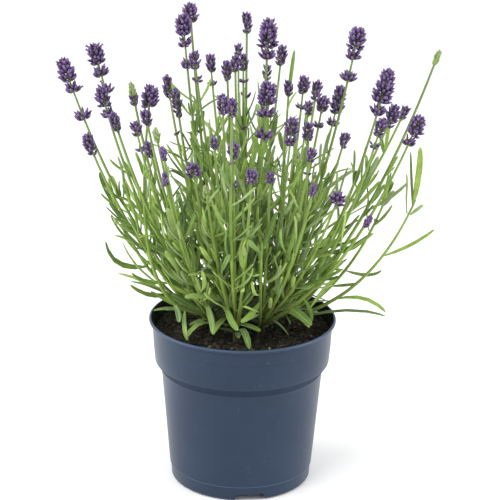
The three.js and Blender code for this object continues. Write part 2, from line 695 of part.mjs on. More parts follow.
// A long leaf that follows an arched path of its own
function makeArchedLeaf(stem) {
  const skin = newSkin();
  const { path, guide } = stem;
  const rings = ARCHED_LEAF_STATIONS.map(({ at, width }) => {
    const [centre, way] = [path.at(path.length * at), path.direction(path.length * at)];
    return addBladeRing(skin, centre, guide, way, (LEAF_WIDTH * width) / 2, LEAF_KEEL);
  });
  closeRing(skin, rings[0], false);
  for (let k = 0; k < rings.length - 1; k++) addWalls(skin, rings[k], rings[k + 1]);
  closeToPoint(skin, rings[rings.length - 1], skin.add(path.at(path.length)));
  return skin.solid();
}

// Where a green stalk has its rings: at each joint with leaves, and in even steps between
function stalkMarks(stem, joints, end) {
  const half = JOINT_HEIGHT / 2;
  const marks = joints.flatMap(({ distance }) => [distance - half, distance + half]);
  const steps = stem.kind === 'shoot' ? 1 : STALK_STEPS;
  for (let i = 0; i <= steps; i++) {
    const mark = (end * i) / steps;
    const near = marks.some((other) => Math.abs(other - mark) < end / STALK_STEPS / 2);
    if (!near || i === 0 || i === steps) marks.push(mark);
  }
  return marks.sort((a, b) => a - b);
}

// The green stalk of one stem with its leaves, and its bud if it ends in one
function makeStalk(stem) {
  const { path, guide, turn, kind } = stem;
  const stops = { flower: () => spikeFoot(stem) - SPIKE_GAP, bud: () => path.length - BUD.length };
  const end = stops[kind] ? stops[kind]() : path.length - 2;
  const joints = stem.joints.filter((joint) => joint.leaves.length);
  const marks = stalkMarks(stem, joints, end);
  const skin = newSkin();
  const rings = marks.map((mark) => {
    const half = THREE.MathUtils.lerp(STALK_HALF_WIDTH, STALK_END_HALF_WIDTH, mark / end);
    return skin.addRing(ringAt(path.at(mark), path.direction(mark), guide, half * Math.SQRT2, 4, turn));
  });
  closeRing(skin, rings[0], false);
  for (let k = 0; k < rings.length - 1; k++) {
    const joint = joints.find(({ distance }) => Math.abs(marks[k] + JOINT_HEIGHT / 2 - distance) < 1e-6);
    const leaves = joint ? joint.leaves : [];
    addWalls(skin, rings[k], rings[k + 1], leaves.map((leaf) => leaf.side));
    for (const leaf of leaves) addLeaf(skin, leaf, rings[k], rings[k + 1]);
  }
  const top = rings[rings.length - 1];
  if (kind === 'bud') {
    const budMarks = [{ distance: end }, ...floretRings(end, BUD.length, BUD.width)];
    addFlorets(skin, stem, budMarks, 4, turn, top);
  } else closeRing(skin, top, true);
  return skin.solid();
}

function meshOf(solid, name, material) {
  const { vertProperties, triVerts } = solid.getMesh();
  const geometry = new THREE.BufferGeometry();
  geometry.setAttribute('position', new THREE.BufferAttribute(vertProperties, 3));
  geometry.setIndex(new THREE.BufferAttribute(triVerts, 1));
  geometry.computeVertexNormals();
  const mesh = new THREE.Mesh(geometry, material);
  mesh.name = name;
  return mesh;
}

// Places every stem and leaf, so that none crosses another plant's
function growPlants(draw) {
  const stems = listStems();
  const flowering = stems.filter((stem) => stem.kind === 'flower');
  for (const { plant, tip, spike, index } of flowering) {
    const straight = pathOf(plant.crown, plant.crown.clone().lerp(tip, 0.5), tip);
    const label = { plant: plant.index, stem: index, kind: 'spike' };
    takePath(straight, straight.length - spike.length, spike.width / 2, label);
  }
  for (const plant of plants) {
    for (let share = 0; share <= 1; share += 0.1) {
      const place = plant.crown.clone().lerp(plant.root, share);
      taken.push({ place, radius: TRUNK_RADIUS, plant: plant.index, kind: 'trunk' });
    }
  }
  for (const stem of stems) growStem(stem, draw);
  for (const stem of stems) stem.joints = growJoints(stem, draw);
  return stems;
}

function makeLavender() {
  const group = new THREE.Group();
  const draw = drawsFrom(SEED);
  const stems = growPlants(draw);
  const two = (number) => String(number).padStart(2, '0');
  group.add(meshOf(makePot(), 'pot', MATERIALS.pot));
  group.add(meshOf(makeSoil(), 'soil', MATERIALS.soil));
  for (const plant of plants) {
    const own = stems.filter((stem) => stem.plant === plant);
    const parts = own.map((stem) => (stem.kind === 'arched' ? makeArchedLeaf(stem) : makeStalk(stem)));
    const solid = wasm.Manifold.union([makeTrunk(plant), ...parts]);
    group.add(meshOf(solid, `leafy_stem_${two(plant.index + 1)}`, MATERIALS.leaf));
  }
  stems.filter((stem) => stem.kind === 'flower').forEach((stem, i) => {
    group.add(meshOf(makeSpike(stem, draw), `flower_spike_${two(i + 1)}`, MATERIALS.flower));
  });
  return group;
}

export default makeLavender();
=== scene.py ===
# A potted lavender: leafy stems and flower spikes growing from the soil of a nursery pot.
# The plant grows in millimetres by the same rule as its solids, and its meshes are in metres.
import math
from types import SimpleNamespace

import bpy
import numpy as np
from mathutils import Matrix, Vector, noise


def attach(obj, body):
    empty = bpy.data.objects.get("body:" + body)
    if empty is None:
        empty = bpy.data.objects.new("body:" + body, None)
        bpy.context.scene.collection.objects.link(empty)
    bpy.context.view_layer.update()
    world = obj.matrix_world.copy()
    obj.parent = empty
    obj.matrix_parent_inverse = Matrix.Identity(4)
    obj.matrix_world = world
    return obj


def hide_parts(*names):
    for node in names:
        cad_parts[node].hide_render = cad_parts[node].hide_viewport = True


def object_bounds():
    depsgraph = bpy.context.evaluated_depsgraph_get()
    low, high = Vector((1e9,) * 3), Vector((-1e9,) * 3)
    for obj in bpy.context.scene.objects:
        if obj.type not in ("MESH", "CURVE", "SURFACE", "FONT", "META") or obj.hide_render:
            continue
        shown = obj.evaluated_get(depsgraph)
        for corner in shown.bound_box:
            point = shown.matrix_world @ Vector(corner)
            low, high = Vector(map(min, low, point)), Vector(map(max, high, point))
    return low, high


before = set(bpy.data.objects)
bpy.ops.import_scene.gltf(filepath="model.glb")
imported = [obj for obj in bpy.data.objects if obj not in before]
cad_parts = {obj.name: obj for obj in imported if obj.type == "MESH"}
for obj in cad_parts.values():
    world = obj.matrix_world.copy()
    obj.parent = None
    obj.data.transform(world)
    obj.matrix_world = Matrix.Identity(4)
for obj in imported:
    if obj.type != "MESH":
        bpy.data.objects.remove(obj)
cad_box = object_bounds()

MM = 0.001
BOX_MARGIN = 0.05
BOX_LOW = np.array(cad_box[0]) / MM + BOX_MARGIN
BOX_HIGH = np.array(cad_box[1]) / MM - BOX_MARGIN

# Pot, in millimetres and degrees: moulded plastic, 130 mm across its rim
RIM_RADIUS = 65
POT_HEIGHT = 118.5
LIP_OVERHANG = 2.3
LIP_HEIGHT = 2.4
COLLAR_TOP_RADIUS = RIM_RADIUS - LIP_OVERHANG
COLLAR_BOTTOM_RADIUS = 60.8
COLLAR_BOTTOM_Z = 87.8
BODY_TOP_RADIUS = 56.2
BODY_TOP_Z = 81.4
BODY_BOTTOM_RADIUS = 49.5
FOOT_LINE_Z = 10.7
FOOT_RADIUS = 46.2
FOOT_RING_WIDTH = 3
FLOOR_UNDERSIDE_Z = 5.2
PAD_RADIUS = 14
WALL = 1.1
LIP_ROUNDING = 1.0
FOOT_ROUNDING = 3.4
NOTCHES = 3
NOTCH_FIRST_ANGLE = -81.5
NOTCH_WIDTH_TOP = 18
NOTCH_WIDTH_BOTTOM = 23.5
NOTCH_DEPTH = 20
DRAIN_HOLES = 6
DRAIN_HOLE_RADIUS = 4.5
DRAIN_HOLE_RING = 30
FACING_SHARE = 0.5
SMOOTH_BELOW = 35
POT_STEPS = 192

# Soil: peat, a little below the rim
GAP = 0.4
SOIL_Z = 109.5
SOIL_LUMP = 1.1
SOIL_STEPS = 240
SOIL_RINGS = 46
CLUMP_HEIGHT = 1.4
LEVEL_EDGE = 0.88
CLODS = 2600
PALE_BITS = 90
CRUMB_SPREAD = 0.93
SMALL_CRUMBS = (0.45, 0.8)
SMALL_CRUMB_SHARE = 0.75
LARGEST_CLOD = 1.3
LARGEST_BIT = 2.0
CRUMB_LENGTHS = (1.4, 2.2)
CRUMB_TILT = 0.4
CRUMB_LIFT = (0.1, 0.9)
CLOD_SEEDS = (11, 23, 37, 51)
BIT_SEED = 71

# Plant: rooted stems, their crowns, and the part of the canopy that each holds
ROOTS = [
    (1, 2), (-4, -22), (12, -15), (-16, -15), (15, 4), (-11, 7), (-26, 0), (28, -4), (0, 23), (17, 20),
]
TRUNK_RADIUS = 2.3
TRUNK_DEPTH = 14
CROWN_Z = 129
TRUNK_BEND_Z = SOIL_Z + 3
BRANCHING_SHARE = 0.8
CROWN_SPREAD = 1.35
CANOPY_SPREAD = 4.2

# Flower stalks: square in section, thinner towards the flowers
STALK_HALF_WIDTH = 1.25
STALK_TOP_HALF_WIDTH = 0.64
PATH_STEPS = 24
STALK_TRIES = 40
STALK_SWING = 0.8
WALK = 2.5
CLEARANCE = 0.8
STALK_ROOM = STALK_HALF_WIDTH * 1.2
TRUNK_BALLS = 11

# Leaves: narrow and blunt, in opposite pairs that turn a quarter at each joint of the stem
LEAF_LENGTH_LOW = 46
LEAF_LENGTH_HIGH = 27
LEAF_WIDTH = 5
LEAF_TRIES = 10
LEAF_WALK = 0.085
LEAF_MARKS = 0.15 + np.arange(11) * LEAF_WALK
NEAR_MARKS = LEAF_MARKS < 0.35
SAME_PLANT_SHARE = 0.9
LEAF_SPREAD = 0.14
LEAF_OPENING = (0.4, 0.75)
LOW_LEAF_OPENING = 0.25
LEAF_BEND = (0, 0.3)
LEAF_WIDTHS = (0.85, 1.1)
LEAF_LENGTHS = (0.85, 1.12)
SHORTER_EACH_TRY = 0.06
FIRST_JOINT = (12, 22)
STALK_JOINTS_SHARE = 0.45
SHOOT_JOINTS_SHARE = 0.9
ONE_JOINT_SHARES = (0.2, 1)
LEAF_CLEAR_RADIUS = 2
LOWEST_LEAF = 3.5
OUTLINE_HEIGHTS = (112, 125, 143, 160, 178, 195, 213, 250)
OUTLINE_REACHES = (50, 58, 68, 82, 90, 97, 103, 108)
OUTLINE_ALLOWANCE = 10
LOW_INSET_HEIGHTS = (148, 188)
RIM_CLEARANCE = 0.5
WHORL_LENGTH = 6

# Flower spikes, left to right: tip x, y, z, length, width, and how far below its foot any whorl
# that stands apart on the stalk is
SPIKES = [
    ((-124, 5, 301), 18, 14, (5, 25)), ((-105, 35, 304), 16, 14, (6, 18)), ((-62, -25, 292), 16, 13, ()),
    ((-97, -15, 287), 15, 11, (5,)), ((-88, -35, 276), 16, 8, ()), ((-66, -45, 281), 13, 9, ()),
    ((-72, -60, 277), 12, 8, (9,)), ((-107, -20, 256), 17, 9, ()), ((-64, -36, 256), 13, 8, ()),
    ((-39, 30, 335), 15, 12, ()), ((-43, 5, 333), 16, 12, (5, 20)), ((-35, -15, 313), 14, 9, (6,)),
    ((-26, 80, 286), 14, 9, (7,)), ((-13, -5, 304), 15, 8, ()), ((-8, 70, 288), 13, 8, ()),
    ((-6, 95, 290), 10, 7, ()), ((-2, 25, 301), 13, 8, (6,)), ((0, 50, 324), 16, 8, ()),
    ((15, 5, 331), 21, 16, (6,)), ((25, 70, 296), 16, 9, ()), ((15, 95, 275), 12, 8, ()),
    ((15, -30, 297), 18, 16, (6, 22)), ((-15, -50, 294), 16, 9, ()), ((-8, -85, 301), 14, 8, ()),
    ((30, 45, 278), 13, 8, ()), ((39, -15, 297), 14, 9, (8,)), ((51, 85, 267), 16, 9, ()),
    ((53, 5, 278), 13, 10, (8,)), ((46, 105, 246), 13, 8, ()), ((31, -50, 278), 13, 11, (5,)),
    ((42, -25, 268), 14, 9, ()), ((-7, -75, 268), 13, 9, (18,)), ((-20, -60, 267), 10, 7, ()),
    ((44, -65, 262), 12, 8, ()), ((67, 65, 269), 22, 11, (6,)), ((68, -15, 258), 12, 8, ()),
    ((76, 15, 323), 16, 14, (5, 20)), ((96, -5, 300), 25, 17, (7,)), ((91, -40, 276), 15, 9, (6,)),
    ((105, 45, 261), 18, 11, ()), ((114, 70, 253), 12, 8, ()), ((117, -20, 272), 16, 12, (5,)),
    ((-56, 60, 276), 18, 9, ()), ((-48, 5, 282), 22, 8, ()), ((-34, -70, 252), 11, 11, ()),
    ((5, -90, 255), 12, 9, ()), ((17, -60, 244), 10, 7, ()), ((63, -60, 230), 10, 12, ()),
]

# Spikes whose stalk grows its own way, by their place in the list above: it swings out at its foot
# before it rises, or it has no pair of leaves
HABITS = {
    2: {"reach": 1.5, "rise": -0.04}, 7: {"pairs": 0}, 30: {"reach": 1.1, "rise": 0.1},
    38: {"pairs": 0}, 40: {"pairs": 0}, 41: {"pairs": 0},
}

# Buds: tip x, y, z. By their places in the list, one is colouring, some are violet, the rest green
BUDS = [
    (-78, 10, 284), (-58, -70, 276), (131, 20, 307), (-52, -80, 249), (-25, -75, 239),
    (-53, -85, 268), (36, -40, 252), (46, -70, 240), (85, -50, 212),
]
BUD_LENGTH = 9
COLOURING_BUD = 0
VIOLET_BUDS = (3, 5, 7, 8)

# Small whorls that stand alone, low on their stalks: number of the stem, height, reach and cups
LOOSE_WHORLS = [
    (17, 265, 4.4, 5), (42, 234, 3.2, 3), (9, 245, 2.6, 2), (16, 248, 3.4, 4), (23, 255, 3.2, 3),
    (33, 242, 2.4, 2), (40, 193, 2.4, 2), (40, 185, 3.0, 3), (58, 185, 2.4, 2),
]

# Leafy shoots with no flower: tip, how far out and how high the middle of each is pulled, and its
# pairs of leaves
SHOOTS = [
    ((116, -20, 214), 0.68, 0.2, 2), ((102, 15, 216), 0.7, 0.25, 1), ((72, -34, 190), 0.6, 0.3, 1),
    ((-76, -25, 196), 0.6, 0.3, 3), ((-92, 10, 206), 0.7, 0.25, 2), ((-50, -48, 192), 0.6, 0.35, 3),
    ((-20, -58, 208), 0.6, 0.4, 3), ((12, -62, 196), 0.6, 0.4, 3), ((42, -52, 210), 0.6, 0.4, 3),
    ((86, 6, 226), 0.6, 0.35, 2), ((-36, 58, 204), 0.6, 0.4, 3), ((12, 68, 198), 0.6, 0.4, 3),
    ((56, 56, 202), 0.6, 0.4, 3), ((-74, 44, 190), 0.6, 0.3, 3),
]

# Long low leaves that arch out over the rim: tip x, y, z
ARCHED_LEAVES = [
    (5, -54, 116), (-38, -34, 115), (-20, -36, 119), (46, -20, 119), (98, -20, 128), (-77, -8, 146),
    (-30, 44, 117), (25, 47, 117), (-88, 24, 140), (64, 42, 128),
]
ARCHED_LEAF_LIFT = 14
SEED = 20445
FINE_SEED = 9157
DRAW_STEP = 16807
DRAW_RANGE = 2147483647
OVERALL_HEIGHT = 335
TINY = 1e-9
UP = np.array((0.0, 0.0, 1.0))


def draws_from(seed):
    """Seeded draws, the same on every run."""
    state = seed

    def draw(low, high):
        nonlocal state
        state = state * DRAW_STEP % DRAW_RANGE
        return low + (high - low) * (state / DRAW_RANGE)

    return draw


def unit(vector):
    return vector / np.linalg.norm(vector, axis=-1, keepdims=True)


def across(axis, guide):
    """Two directions square to an axis, the first near a guide, which turn left about the axis."""
    first = unit(guide - axis * np.sum(guide * axis, axis=-1, keepdims=True))
    return first, np.cross(axis, first)


def turned_towards(first, second, angle):
    """The first of two square directions, turned towards the second by an angle."""
    return first * math.cos(angle) + second * math.sin(angle)


class Path:
    """A smooth path through a start, a pull and an end, walked by distance."""

    def __init__(self, start, pull, end):
        t = np.linspace(0, 1, PATH_STEPS + 1)[:, None]
        self.points = (1 - t) ** 2 * start + 2 * (1 - t) * t * pull + t * t * end
        steps = np.diff(self.points, axis=0)
        self.steps = unit(steps)
        self.marks = np.concatenate([[0], np.cumsum(np.linalg.norm(steps, axis=1))])
        self.length = self.marks[-1]
        bends = unit(self.steps[1:] + self.steps[:-1])
        self.tangents = np.vstack([self.steps[:1], bends, self.steps[-1:]])

    def at(self, distance):
        return np.stack([np.interp(distance, self.marks, self.points[:, k]) for k in range(3)], -1)

    def direction(self, distance):
        held = min(max(distance, 0), self.length - TINY)
        return self.steps[np.searchsorted(self.marks, held, side="right") - 1]

    def tangent(self, distance):
        return unit(np.stack([np.interp(distance, self.marks, self.tangents[:, k]) for k in range(3)], -1))


class Taken:
    """The space that is already taken, as balls along each thing, and the stalks to keep in sight."""

    def __init__(self, room=60000):
        self.count = 0
        self.place = np.zeros((room, 3))
        self.radius = np.zeros(room)
        self.plant = np.zeros(room, int)
        self.stem = np.zeros(room, int)
        self.spike = np.zeros(room, bool)
        self.front = np.zeros((0, 3))

    def add(self, places, radius, plant, stem=-1, spike=False):
        span = slice(self.count, self.count + len(places))
        self.place[span] = places
        self.radius[span] = radius
        self.plant[span] = plant
        self.stem[span] = stem
        self.spike[span] = spike
        self.count = span.stop

    def clear(self, places, radius, shares):
        """Whether balls at these places clear all that is taken, each ball by its share."""
        near = shares > 0
        held = self.place[: self.count][near]
        room = (self.radius[: self.count][near] + radius) * shares[near] + CLEARANCE
        apart = np.linalg.norm(held[None] - np.atleast_2d(places)[:, None], axis=2)
        return bool((apart > room).all())


def reach_of(plant, tip):
    return math.hypot(plant.canopy[0] - tip[0], plant.canopy[1] - tip[1])


def list_stems(plants):
    """All stems, each with its plant and its share of that plant's height of branching."""
    usual = {"reach": 0.6, "rise": 0.36, "lift": 0, "offset": 0.6, "pairs": 1, "spike": None}
    stems = [{**usual, "kind": "flower", "tip": tip, "spike": (length, width, whorls), **HABITS.get(i, {})}
             for i, (tip, length, width, whorls) in enumerate(SPIKES)]
    stems += [{**usual, "kind": "bud", "tip": tip} for tip in BUDS]
    stems += [{**usual, "kind": "shoot", "tip": tip, "reach": reach, "rise": rise, "pairs": pairs}
              for tip, reach, rise, pairs in SHOOTS]
    stems += [{**usual, "kind": "arched", "tip": tip, "lift": ARCHED_LEAF_LIFT, "offset": 0.2, "pairs": 0}
              for tip in ARCHED_LEAVES]
    stems = [SimpleNamespace(**stem, index=index) for index, stem in enumerate(stems)]
    for stem in stems:
        stem.tip = np.array(stem.tip, float)
        stem.plant = min(plants, key=lambda plant: reach_of(plant, stem.tip))
    for plant in plants:
        plant.stems = [stem for stem in stems if stem.plant is plant]
        for i, stem in enumerate(plant.stems):
            stem.share = (i + 0.5) / len(plant.stems)
    return stems


def grow_stem(stem, taken, draw):
    """A stem's path from its trunk to its tip, bowed a little more or less until it clears the others."""
    plant = stem.plant
    flat = np.array((1.0, 1.0, 0.0))
    outward = unit((stem.tip - plant.crown) * flat)
    apart = unit((stem.tip - plant.canopy) * flat)
    start = plant.crown + (plant.root - plant.crown) * BRANCHING_SHARE * stem.share
    start = start + apart * TRUNK_RADIUS * stem.offset
    stem.guide = np.cross(UP, outward)
    stem.turn = draw(0, math.pi / 2)
    own = (taken.plant == plant.index) & ~taken.spike | (taken.stem == stem.index)
    shares = np.where(own, 0.0, 1.0)[: taken.count]
    for attempt in range(STALK_TRIES):
        swing = STALK_SWING * attempt
        pull = start + (stem.tip - start) * np.array((stem.reach, stem.reach, stem.rise))
        pull[0] += draw(-swing, swing)
        pull[1] += draw(-swing, swing)
        pull[2] += stem.lift
        stem.path = Path(start, pull, stem.tip)
        places = stem.path.at(np.arange(math.ceil(stem.path.length / WALK)) * WALK)
        if taken.clear(places, STALK_ROOM, shares):
            break
    marks = np.arange(0, stem.path.length + TINY, WALK)
    taken.add(stem.path.at(marks), STALK_ROOM, plant.index, stem.index)


def leaf_line(leaf, t):
    """The middle of a leaf, which bends towards its upper face or away from it, and curls at its tip."""
    t = np.asarray(t, float)[..., None]
    return leaf.root + leaf.length * (leaf.way * t + leaf.face * (leaf.bend * t * t - leaf.curl * t ** 5))


def clear_of_pot(places, radius):
    """Whether each ball stays over the soil and the rim."""
    out = np.hypot(places[:, 0], places[:, 1])
    inside = (places[:, 2] > SOIL_Z + LOWEST_LEAF) & (out < COLLAR_TOP_RADIUS - WALL - 2 * radius)
    return bool(((places[:, 2] > POT_HEIGHT + radius + RIM_CLEARANCE) | inside).all())


def within_outline(places, near=0.0, inset=0.0):
    """Whether a leaf keeps within the outline that leaves reach, or near to its own root."""
    out = np.hypot(places[:, 0], places[:, 1])
    reach = np.interp(places[:, 2], OUTLINE_HEIGHTS, OUTLINE_REACHES)
    reach = reach - np.interp(places[:, 2], LOW_INSET_HEIGHTS, (inset, 0))
    return bool((out < np.maximum(reach, near)).all())


def leaf_at(stem, distance, side, spread, open_angle, bend, width, length):
    """A leaf on one side of a stem, turned aside by spread and opened from the stem by an angle."""
    along = stem.path.direction(distance)
    e1, e2 = across(along, stem.guide)
    middle = stem.turn + (side + 0.5) * math.pi / 2
    root = stem.path.at(distance) + turned_towards(e1, e2, middle) * STALK_HALF_WIDTH
    out = turned_towards(e1, e2, middle + spread)
    way = turned_towards(along, out, open_angle)
    face = along * math.sin(open_angle) - out * math.cos(open_angle)
    return SimpleNamespace(root=root, way=way, face=face, bend=bend, curl=0.0, width=width, length=length)


def grow_leaf(stem, distance, side, taken, draw):
    """One leaf of a pair, tried at several angles until it is clear of everything else."""
    up = distance / stem.path.length
    count = taken.count
    same_stem = taken.stem[:count] == stem.index
    same_plant = (taken.plant[:count] == stem.plant.index) & ~taken.spike[:count]
    far_shares = np.where(same_plant, SAME_PLANT_SHARE, 1.0)
    near_shares = np.where(same_stem, 0.0, far_shares)
    for attempt in range(LEAF_TRIES):
        spread = draw(-LEAF_SPREAD, LEAF_SPREAD) * (1 + attempt)
        open_angle = draw(*LEAF_OPENING) + (1 - up) * LOW_LEAF_OPENING
        bend = draw(*LEAF_BEND)
        width = LEAF_WIDTH * draw(*LEAF_WIDTHS)
        length = (LEAF_LENGTH_LOW + (LEAF_LENGTH_HIGH - LEAF_LENGTH_LOW) * up) * draw(*LEAF_LENGTHS)
        length *= 1 - SHORTER_EACH_TRY * attempt
        leaf = leaf_at(stem, distance, side, spread, open_angle, bend, width, length)
        places = leaf_line(leaf, LEAF_MARKS)
        near_root = math.hypot(leaf.root[0], leaf.root[1]) + OUTLINE_ALLOWANCE
        if not clear_of_pot(places, LEAF_CLEAR_RADIUS) or not within_outline(places, near_root):
            continue
        if not taken.clear(places[NEAR_MARKS], LEAF_CLEAR_RADIUS, near_shares):
            continue
        if not taken.clear(places[~NEAR_MARKS], LEAF_CLEAR_RADIUS, far_shares):
            continue
        taken.add(places, LEAF_CLEAR_RADIUS, stem.plant.index, stem.index)
        return leaf
    return None


def grow_joints(stem, taken, draw):
    """The leaves of one stem that its solid has, in pairs on opposite sides."""
    first = draw(*FIRST_JOINT)
    last = stem.path.length * (SHOOT_JOINTS_SHARE if stem.kind == "shoot" else STALK_JOINTS_SHARE)
    start = math.floor(draw(0, 1) + 0.5)
    stem.joints = []
    for i in range(stem.pairs):
        share = i / (stem.pairs - 1) if stem.pairs > 1 else draw(*ONE_JOINT_SHARES)
        distance = first + (last - first) * share
        side = (start + i) % 2
        leaves = [grow_leaf(stem, distance, one, taken, draw) for one in (side, side + 2)]
        stem.joints.append(SimpleNamespace(distance=distance, leaves=[leaf for leaf in leaves if leaf]))


def grow_plants():
    """Places every stem and leaf as its solid has them."""
    draw = draws_from(SEED)
    taken = Taken()
    plants = [SimpleNamespace(
        index=index,
        root=np.array((x, y, TRUNK_BEND_Z), float),
        crown=np.array((x * CROWN_SPREAD, y * CROWN_SPREAD, CROWN_Z), float),
        canopy=np.array((x * CANOPY_SPREAD, y * CANOPY_SPREAD, 0), float),
        single_leaves=[],
        top_leaves=[],
        basal_leaves=[],
    ) for index, (x, y) in enumerate(ROOTS)]
    stems = list_stems(plants)
    for stem in stems:
        if stem.kind != "flower":
            continue
        length, width, _ = stem.spike
        crown = stem.plant.crown
        straight = Path(crown, crown + (stem.tip - crown) * 0.5, stem.tip)
        marks = np.arange(straight.length - length, straight.length + TINY, WALK)
        taken.add(straight.at(marks), width / 2, stem.plant.index, stem.index, spike=True)
    for plant in plants:
        shares = np.arange(TRUNK_BALLS)[:, None] * 0.1
        taken.add(plant.crown + (plant.root - plant.crown) * shares, TRUNK_RADIUS, plant.index)
    for stem in stems:
        grow_stem(stem, taken, draw)
    for stem in stems:
        grow_joints(stem, taken, draw)
    return plants, stems, taken


def select_none():
    if bpy.context.mode != "OBJECT":
        bpy.ops.object.mode_set(mode="OBJECT")
    bpy.ops.object.select_all(action="DESELECT")


def select_only(*objects):
    select_none()
    for one in objects:
        one.select_set(True)
    bpy.context.view_layer.objects.active = objects[0]


def coordinates(piece):
    places = np.zeros(len(piece.data.vertices) * 3)
    piece.data.vertices.foreach_get("co", places)
    return places.reshape(-1, 3)


def set_coordinates(piece, places):
    piece.data.vertices.foreach_set("co", np.ascontiguousarray(places, float).ravel())
    piece.data.update()


def apply_modifier(piece, kind, **settings):
    """Adds a modifier to a piece and applies it."""
    modifier = piece.modifiers.new(kind.title(), kind)
    for key, value in settings.items():
        setattr(modifier, key, value)
    select_only(piece)
    bpy.ops.object.modifier_apply(modifier=modifier.name)


def drawn_outline(name, points):
    """A line of edges through (radius, height) points, drawn from one vertex by extruding it."""
    select_none()
    bpy.ops.mesh.primitive_plane_add(size=1, location=(points[0][0], 0, points[0][1]))
    piece = bpy.context.object
    piece.name = name
    bpy.ops.object.transform_apply(location=True)
    bpy.ops.object.mode_set(mode="EDIT")
    bpy.ops.mesh.select_mode(type="VERT")
    bpy.ops.mesh.select_all(action="SELECT")
    bpy.ops.mesh.merge(type="CENTER")
    for (r0, z0), (r1, z1) in zip(points, points[1:]):
        bpy.ops.mesh.extrude_region_move(TRANSFORM_OT_translate={"value": (r1 - r0, 0, z1 - z0)})
    return piece


def turned(name, points, steps):
    """An outline spun round the upright axis into a closed body."""
    piece = drawn_outline(name, points)
    bpy.ops.mesh.select_all(action="SELECT")
    bpy.ops.mesh.spin(steps=steps, angle=2 * math.pi, center=(0, 0, 0), axis=(0, 0, 1))
    bpy.ops.mesh.select_all(action="SELECT")
    bpy.ops.mesh.remove_doubles(threshold=0.01)
    bpy.ops.mesh.dissolve_degenerate(threshold=0.001)
    bpy.ops.mesh.normals_make_consistent(inside=False)
    bpy.ops.object.mode_set(mode="OBJECT")
    return piece


def drawn_out(name, sides, stations, chamfer=0.0):
    """A closed body drawn out along Z from an n-sided face: (height, width, depth) at each station."""
    select_none()
    bpy.ops.mesh.primitive_circle_add(
        vertices=sides, radius=1, fill_type="NGON", location=(0, 0, 0),
    )
    piece = bpy.context.object
    piece.name = name
    bpy.ops.object.mode_set(mode="EDIT")
    bpy.ops.mesh.select_all(action="SELECT")
    if chamfer:
        bpy.ops.mesh.bevel(offset=chamfer, affect="VERTICES")
        bpy.ops.mesh.select_all(action="SELECT")
    height, width, depth = stations[0]
    bpy.ops.transform.resize(value=(width, depth, 1), center_override=(0, 0, 0))
    for z, w, d in stations[1:]:
        bpy.ops.mesh.extrude_region_move(TRANSFORM_OT_translate={"value": (0, 0, z - height)})
        bpy.ops.transform.resize(value=(w / width, d / depth, 1), center_override=(0, 0, z))
        height, width, depth = z, w, d
    bpy.ops.mesh.select_all(action="SELECT")
    bpy.ops.mesh.normals_make_consistent(inside=False)
    bpy.ops.object.mode_set(mode="OBJECT")
    bpy.ops.object.shade_smooth()
    return piece


def finish_master(piece, material):
    """Gives a master its map, across it and along it, its tint and its material."""
    mesh = piece.data
    mesh.materials.clear()
    mesh.materials.append(material)
    places = coordinates(piece)
    for layer in list(mesh.uv_layers):
        mesh.uv_layers.remove(layer)
    layer = mesh.uv_layers.new(name="UVMap")
    corners = np.zeros(len(mesh.loops), int)
    mesh.loops.foreach_get("vertex_index", corners)
    span = np.ptp(places, axis=0)
    low = places.min(axis=0)
    share = (places - low) / np.where(span > 0, span, 1)
    layer.data.foreach_set("uv", share[corners][:, [0, 2]].ravel())
    mesh.attributes.new("tint", "FLOAT_COLOR", "POINT")
    select_none()
    bpy.context.collection.objects.unlink(piece)
    return SimpleNamespace(object=piece, local=places)


def lay(master, line, width, depth, tint):
    """A copy of a master laid along a line, which gives place, direction and right hand at shares of it."""
    t = master.local[:, 2]
    centre, way, right = line(t)
    face = np.cross(way, right)
    places = centre + right * (master.local[:, 0] * width(t))[:, None]
    places = places + face * (master.local[:, 1] * depth(t))[:, None]
    places = np.clip(places, BOX_LOW, BOX_HIGH)
    piece = master.object.copy()
    piece.data = master.object.data.copy()
    bpy.context.collection.objects.link(piece)
    set_coordinates(piece, places * MM)
    values = np.tile((tint, 0.0, 0.0, 1.0), (len(places), 1))
    values[:, 2] = np.clip(places[:, 2] / OVERALL_HEIGHT, 0, 1)
    piece.data.attributes["tint"].data.foreach_set("color", values.ravel())
    return piece


def lay_round(master, line, width, tint):
    """A copy that is as deep as it is wide."""
    return lay(master, line, width, width, tint)


def lay_leaf(masters, line, width, tint):
    """A thin blade of a width laid along a line."""
    return lay(masters.leaf, line, constant(width / 2), constant(LEAF_HALF_THICKNESS), tint)


def joined(name, parts, node):
    """Parts joined into one piece, which stands for its CAD node."""
    select_only(*parts)
    if len(parts) > 1:
        bpy.ops.object.join()
    piece = bpy.context.object
    piece.name = name
    piece.data.name = name
    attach(piece, "root")
    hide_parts(node)
    select_none()
    return piece


def constant(value):
    return lambda t: np.full(np.shape(t), float(value))


def between(first, last):
    return lambda t: first + (last - first) * t


def colour(red, green, blue):
    """A screen colour as the linear one that a shader takes."""
    screen = np.array((red, green, blue)) / 255
    linear = np.where(screen <= 0.04045, screen / 12.92, ((screen + 0.055) / 1.055) ** 2.4)
    return (*(float(part) for part in linear), 1.0)


# Where the painted shade inside the plant fades out, and the bands painted on the pot (painted shade on the
# inner edge of its lip, a painted highlight along its rim, a paler line at its foot), in metres
DEEP_RADII = (0.012, 0.045)
DEEP_HEIGHTS = (0.15, 0.24)
INNER_EDGE_RADII = (0.06185, 0.0622)
INNER_EDGE_HEIGHTS = (0.105, 0.106)
RIM_HIGHLIGHT_HEIGHTS = (0.1168, 0.118)
FOOT_LINE_FADE = (0.0002, 0.0006)


